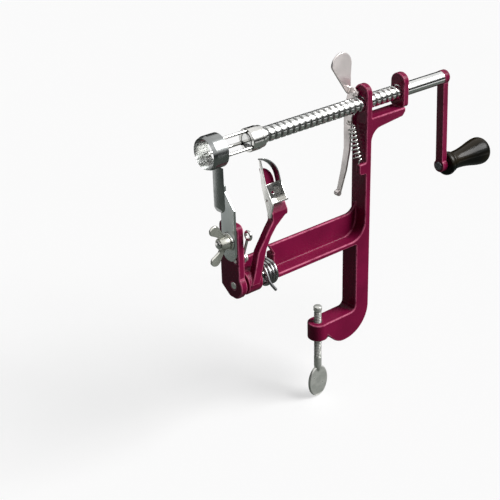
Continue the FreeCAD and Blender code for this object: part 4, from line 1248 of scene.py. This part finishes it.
@dataclass
class ClampScrew:
    """Clamp screw with its thumb plate and the cap on its tip."""

    shoulder: float = -42.8
    neck: float = -88.0
    middle: float = -100.3
    bottom: float = -112.7
    radius: float = 2.7
    taper: tuple[Point, ...] = ((-5.0, 0.9), (-3.0, 1.9), (-1.0, 2.5))
    pitch: float = 1.25
    depth: float = 0.42
    crest: float = 0.8
    bare_neck: float = 8.0
    bare_end: float = 0.6
    first_ring: float = 2.0
    step: float = 0.16
    chamfer: float = 0.5
    peg_radius: float = 1.78
    peg_length: float = 1.6
    rod_sides: int = 40
    half_width: float = 8.5
    plate_half: float = 1.25
    plate_rounding: float = 0.9
    plate_sides: int = 64
    cap_top: float = -39.3
    cap_bottom: float = -42.7
    cap_radius: float = 2.95
    cap_bore: float = 1.9
    cap_chamfer: float = 0.3
    cap_crown: tuple[Point, ...] = ((-0.6, 0.0), (-0.15, -0.25), (0.0, -0.6))
    cap_middle: float = 0.3
    cap_sides: int = 48

    def build(self) -> None:
        """Builds the screw and its cap."""
        dress(self.screw(), "clamp_bolt", "strip_steel", Finish.SCREW, "clamp_screw")
        dress(self.cap(), "clamp_cap", "strip_steel", Finish.SCREW, "clamp_tip")

    def thread(self, along: float, angle: float) -> float:
        """Depth of the clamp screw's thread.

        Args:
            along: height on the screw in millimetres.
            angle: turn about it in radians.

        Returns:
            The depth in millimetres.
        """
        if not self.neck + self.bare_neck < along < self.shoulder - self.bare_end:
            return 0.0
        off = abs(2 * thread_phase(along, angle, self.pitch) - 1)
        return self.depth * (1 - off) ** self.crest

    def screw(self) -> bpy.types.Object:
        """Threaded rod that flattens into an oval thumb plate.

        Returns:
            The object.
        """
        rows = [(self.neck + along, out) for along, out in self.taper]
        rows.append((self.neck + self.first_ring / 2, self.radius))
        length = self.shoulder - self.neck - self.first_ring - self.chamfer
        rows += [(self.neck + self.first_ring + self.step * i, self.radius)
                 for i in range(int(length / self.step))]
        rows += [(self.shoulder, self.radius - self.chamfer), (self.shoulder, self.peg_radius),
                 (self.shoulder + self.peg_length, self.peg_radius)]
        rod = turned("clamp_screw.fine", rows, Axis.Z, Vector((0, 0, 0)), self.rod_sides,
                     self.thread)
        half_height = self.middle - self.bottom
        outline = []
        for index in range(self.plate_sides):
            angle = 2 * math.pi * index / self.plate_sides
            outline.append((self.half_width * math.cos(angle),
                            self.middle + half_height * math.sin(angle)))
        plate = prism("plate", outline, -self.plate_half, self.plate_half,
                      lambda u, v, w: Vector((u, w, v)))
        return merge(rod, [soften(plate, self.plate_rounding, segments=4, angle=40.0)])

    def cap(self) -> bpy.types.Object:
        """Flat-topped cap that bears on the table's underside.

        Returns:
            The object.
        """
        radius, bottom, chamfer = self.cap_radius, self.cap_bottom, self.cap_chamfer
        rows = [(bottom, self.cap_bore), (bottom, radius - chamfer), (bottom + chamfer, radius)]
        rows += [(self.cap_top + rise, radius + out) for rise, out in self.cap_crown]
        rows.append((self.cap_top, self.cap_middle))
        return turned("clamp_cap.fine", rows, Axis.Z, Vector((0, 0, 0)), self.cap_sides)


# Studio, with lengths in metres


@dataclass
class Studio:
    """Pale floor, soft sun lamp, white world, cards that only gloss sees, and the camera."""

    view_turns: Triple = (38.574, 26.855, -1.881)
    view_place: Triple = (-0.43743, -0.47585, 0.33196)
    sensor: float = 36.0
    focal_pixels: float = 1080.0
    frame_pixels: float = 500.0
    clip: Span = (0.01, 50.0)
    floor_height: float = -0.1135
    floor_half: float = 6.0
    floor_pale: Colour = (0.94, 0.94, 0.94)
    floor_grey: Colour = (0.92, 0.92, 0.92)
    floor_clouds: float = 3.0
    floor_rough: float = 0.9
    floor_glow: float = 0.62
    floor_bounce: float = 0.14
    world_light: float = 0.065
    key_power: float = 4.2
    key_angle: float = 38.0
    key_from: Triple = (0.50, -0.55, 0.67)
    dish_radius: float = 1.3
    dish_sides: int = 64
    dish_lift: float = 0.003
    card_lift: float = 0.006
    dish_rims: tuple[Span, ...] = (
        (-180.0, 24.0), (-135.0, 16.0), (-90.0, 16.0), (-45.0, 16.0), (0.0, 20.0), (45.0, 36.0),
        (90.0, 38.0), (135.0, 34.0))
    pale_cards: tuple[tuple[Point, ...], ...] = (
        ((-0.21, 0.22), (-0.04, 0.38), (-0.50, 0.95), (-0.80, 0.60)),
        ((0.27, -0.537), (0.514, -0.771), (0.79, -0.483), (0.546, -0.249)))
    pale_light: float = 1.0
    dark: Colour = (0.010, 0.012, 0.012)
    dim: Colour = (0.15, 0.17, 0.155)
    dim_reach: Span = (0.35, 0.9)

    def build(self) -> None:
        """Builds the stage."""
        self.camera()
        self.world()
        self.floor()
        self.cards()
        self.lamp()

    def camera(self) -> None:
        """Camera solved from the photograph's straight edges."""
        yaw, pitch, roll = (math.radians(angle) for angle in self.view_turns)
        ahead = Vector((math.sin(yaw) * math.cos(pitch), math.cos(yaw) * math.cos(pitch),
                        -math.sin(pitch)))
        level = Vector((math.cos(yaw), -math.sin(yaw), 0.0))
        up = level.cross(ahead)
        right = level * math.cos(roll) + up * math.sin(roll)
        top = up * math.cos(roll) - level * math.sin(roll)
        data = bpy.data.cameras.new("camera")
        data.sensor_fit = "HORIZONTAL"
        data.sensor_width = self.sensor
        data.lens = self.focal_pixels / self.frame_pixels * self.sensor
        data.clip_start, data.clip_end = self.clip
        camera = bpy.data.objects.new("camera", data)
        turn = Matrix((right, top, -ahead)).transposed().to_4x4()
        camera.matrix_world = Matrix.Translation(self.view_place) @ turn
        bpy.context.scene.collection.objects.link(camera)
        bpy.context.scene.camera = camera

    @staticmethod
    def seen(graph: Graph) -> Signal:
        """Share of 1 for rays from the camera, off gloss or through glass.

        Args:
            graph: the node tree that asks.

        Returns:
            The share.
        """
        path = graph.node("ShaderNodeLightPath", {}, {})
        gloss = graph.maths("MAXIMUM", Signal(graph, path.outputs["Is Glossy Ray"]),
                            Signal(graph, path.outputs["Is Transmission Ray"]))
        return graph.maths("MAXIMUM", Signal(graph, path.outputs["Is Camera Ray"]), gloss)

    def world(self) -> None:
        """White where it is seen, and a softer level where it only lights."""
        world = bpy.data.worlds.new("studio_world")
        world.use_nodes = True
        bpy.context.scene.world = world
        graph = Graph(world.node_tree)
        level = self.world_light + (1.0 - self.world_light) * self.seen(graph)
        shade = graph.node("ShaderNodeBackground", {}, {"Color": (1.0, 1.0, 1.0), "Strength": level})
        graph.node("ShaderNodeOutputWorld", {}, {"Surface": shade.outputs[0]})

    def floor(self) -> None:
        """Pale floor that keeps the peeler's shadow."""
        graph = Surface("studio_floor")
        seen = self.seen(graph)
        cloud = graph.noise(graph.place(), self.floor_clouds)
        pale = graph.mix(cloud, self.floor_pale, self.floor_grey)
        bounce = (self.floor_bounce,) * 3
        graph.finish(Base_Color=graph.mix(seen, bounce, pale), Roughness=self.floor_rough,
                     Specular_IOR_Level=0.0)
        glow = graph.node("ShaderNodeEmission", {}, {"Color": (1.0, 1.0, 1.0), "Strength": 1.0})
        mixed = graph.node("ShaderNodeMixShader", {}, {
            0: self.floor_glow * seen, 1: graph.shader.outputs[0], 2: glow.outputs[0]})
        graph.feed(graph.out.inputs["Surface"], mixed.outputs[0])
        half = self.floor_half
        corners = [(-half, -half, 0.0), (half, -half, 0.0), (half, half, 0.0), (-half, half, 0.0)]
        self.sheet("studio_floor", corners, [(0, 1, 2, 3)], graph.material)

    def cards(self) -> None:
        """Dark dish and pale cards that only gloss sees."""
        graph = Surface("dark_card")
        out = graph.node("ShaderNodeVectorMath", {"operation": "LENGTH"}, {0: graph.place()})
        far = Signal(graph, out.outputs["Value"]).between(*self.dim_reach)
        graph.finish(Base_Color=(0.0, 0.0, 0.0), Emission_Color=graph.mix(far, self.dim, self.dark),
                     Emission_Strength=1.0, Specular_IOR_Level=0.0)
        sides, points = self.dish_sides, [Vector((0.0, 0.0, 0.0))]
        for index in range(sides):
            points.append(Axis.Z.place(0.0, self.dish_radius, 2 * math.pi * index / sides))
        for index in range(sides):
            rise = self.dish_radius * math.tan(math.radians(self.rim(360.0 * index / sides)))
            points.append(points[1 + index] + Vector((0.0, 0.0, rise)))
        faces: list[Sequence[int]] = []
        for index in range(sides):
            here, after = 1 + index, 1 + (index + 1) % sides
            faces += [(0, here, after), (here, here + sides, after + sides, after)]
        cards = [self.sheet("dark_card", points, faces, graph.material, self.dish_lift)]
        graph = Surface("pale_card")
        level = (self.pale_light,) * 3
        graph.finish(Base_Color=(0.0, 0.0, 0.0), Emission_Color=level, Emission_Strength=1.0,
                     Specular_IOR_Level=0.0)
        for corners in self.pale_cards:
            cards.append(self.sheet("pale_card", [(x, y, 0.0) for x, y in corners],
                                    [(0, 1, 2, 3)], graph.material, self.card_lift))
        for card in cards:
            card.visible_camera = False
            card.visible_diffuse = False
            card.visible_shadow = False

    def rim(self, angle: float) -> float:
        """Elevation of the dish's rim.

        Args:
            angle: direction in degrees from the crank's side.

        Returns:
            The elevation in degrees.
        """
        angle = (angle + 180.0) % 360.0 - 180.0
        ends = [*self.dish_rims, (180.0, self.dish_rims[0][1])]
        for (start, low), (stop, high) in zip(ends, ends[1:]):
            if start <= angle <= stop:
                return low + (high - low) * (angle - start) / (stop - start)
        return ends[0][1]

    def sheet(self, name: str, points: Sequence[Sequence[float]], faces: Sequence[Sequence[int]],
              material: bpy.types.Material, lift: float = 0.0) -> bpy.types.Object:
        """Stage surface, which isn't part of the peeler.

        Args:
            name: its name.
            points: its vertices in metres.
            faces: its faces, as vertex numbers.
            material: its material.
            lift: how far it lies above the floor.

        Returns:
            The object.
        """
        mesh = bpy.data.meshes.new(name)
        mesh.from_pydata(points, [], faces)
        mesh.materials.append(material)
        sheet = bpy.data.objects.new(name, mesh)
        sheet.location.z = self.floor_height + lift
        bpy.context.scene.collection.objects.link(sheet)
        sheet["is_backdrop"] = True
        return sheet

    def lamp(self) -> None:
        """Soft key lamp from the front and the crank's side."""
        data = bpy.data.lights.new("key_lamp", "SUN")
        data.energy = self.key_power
        data.angle = math.radians(self.key_angle)
        lamp = bpy.data.objects.new("key_lamp", data)
        lamp.location = self.key_from
        lamp.rotation_euler = Vector(self.key_from).to_track_quat("Z", "Y").to_euler()
        bpy.context.scene.collection.objects.link(lamp)


def main() -> None:
    """Builds the peeler and its studio, and measures the boxes of both models."""
    logging.basicConfig(level=logging.INFO, format="%(message)s")
    bpy.context.scene.view_settings.view_transform = "Standard"
    for assembly in (CastFrame(), FeedShaft(), Fork(), Crank(), ReleaseLever(), Slicer(),
                     PeelingArm(), PeelingHead(), ArmLatch(), ClampScrew(), Studio()):
        log.info("building %s", type(assembly).__name__)
        assembly.build()
    bpy.context.view_layer.update()
    for box in (CAD_BOX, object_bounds()):
        json.dumps([list(corner) for corner in box]) + "\n"


if __name__ == "__main__":
    main()
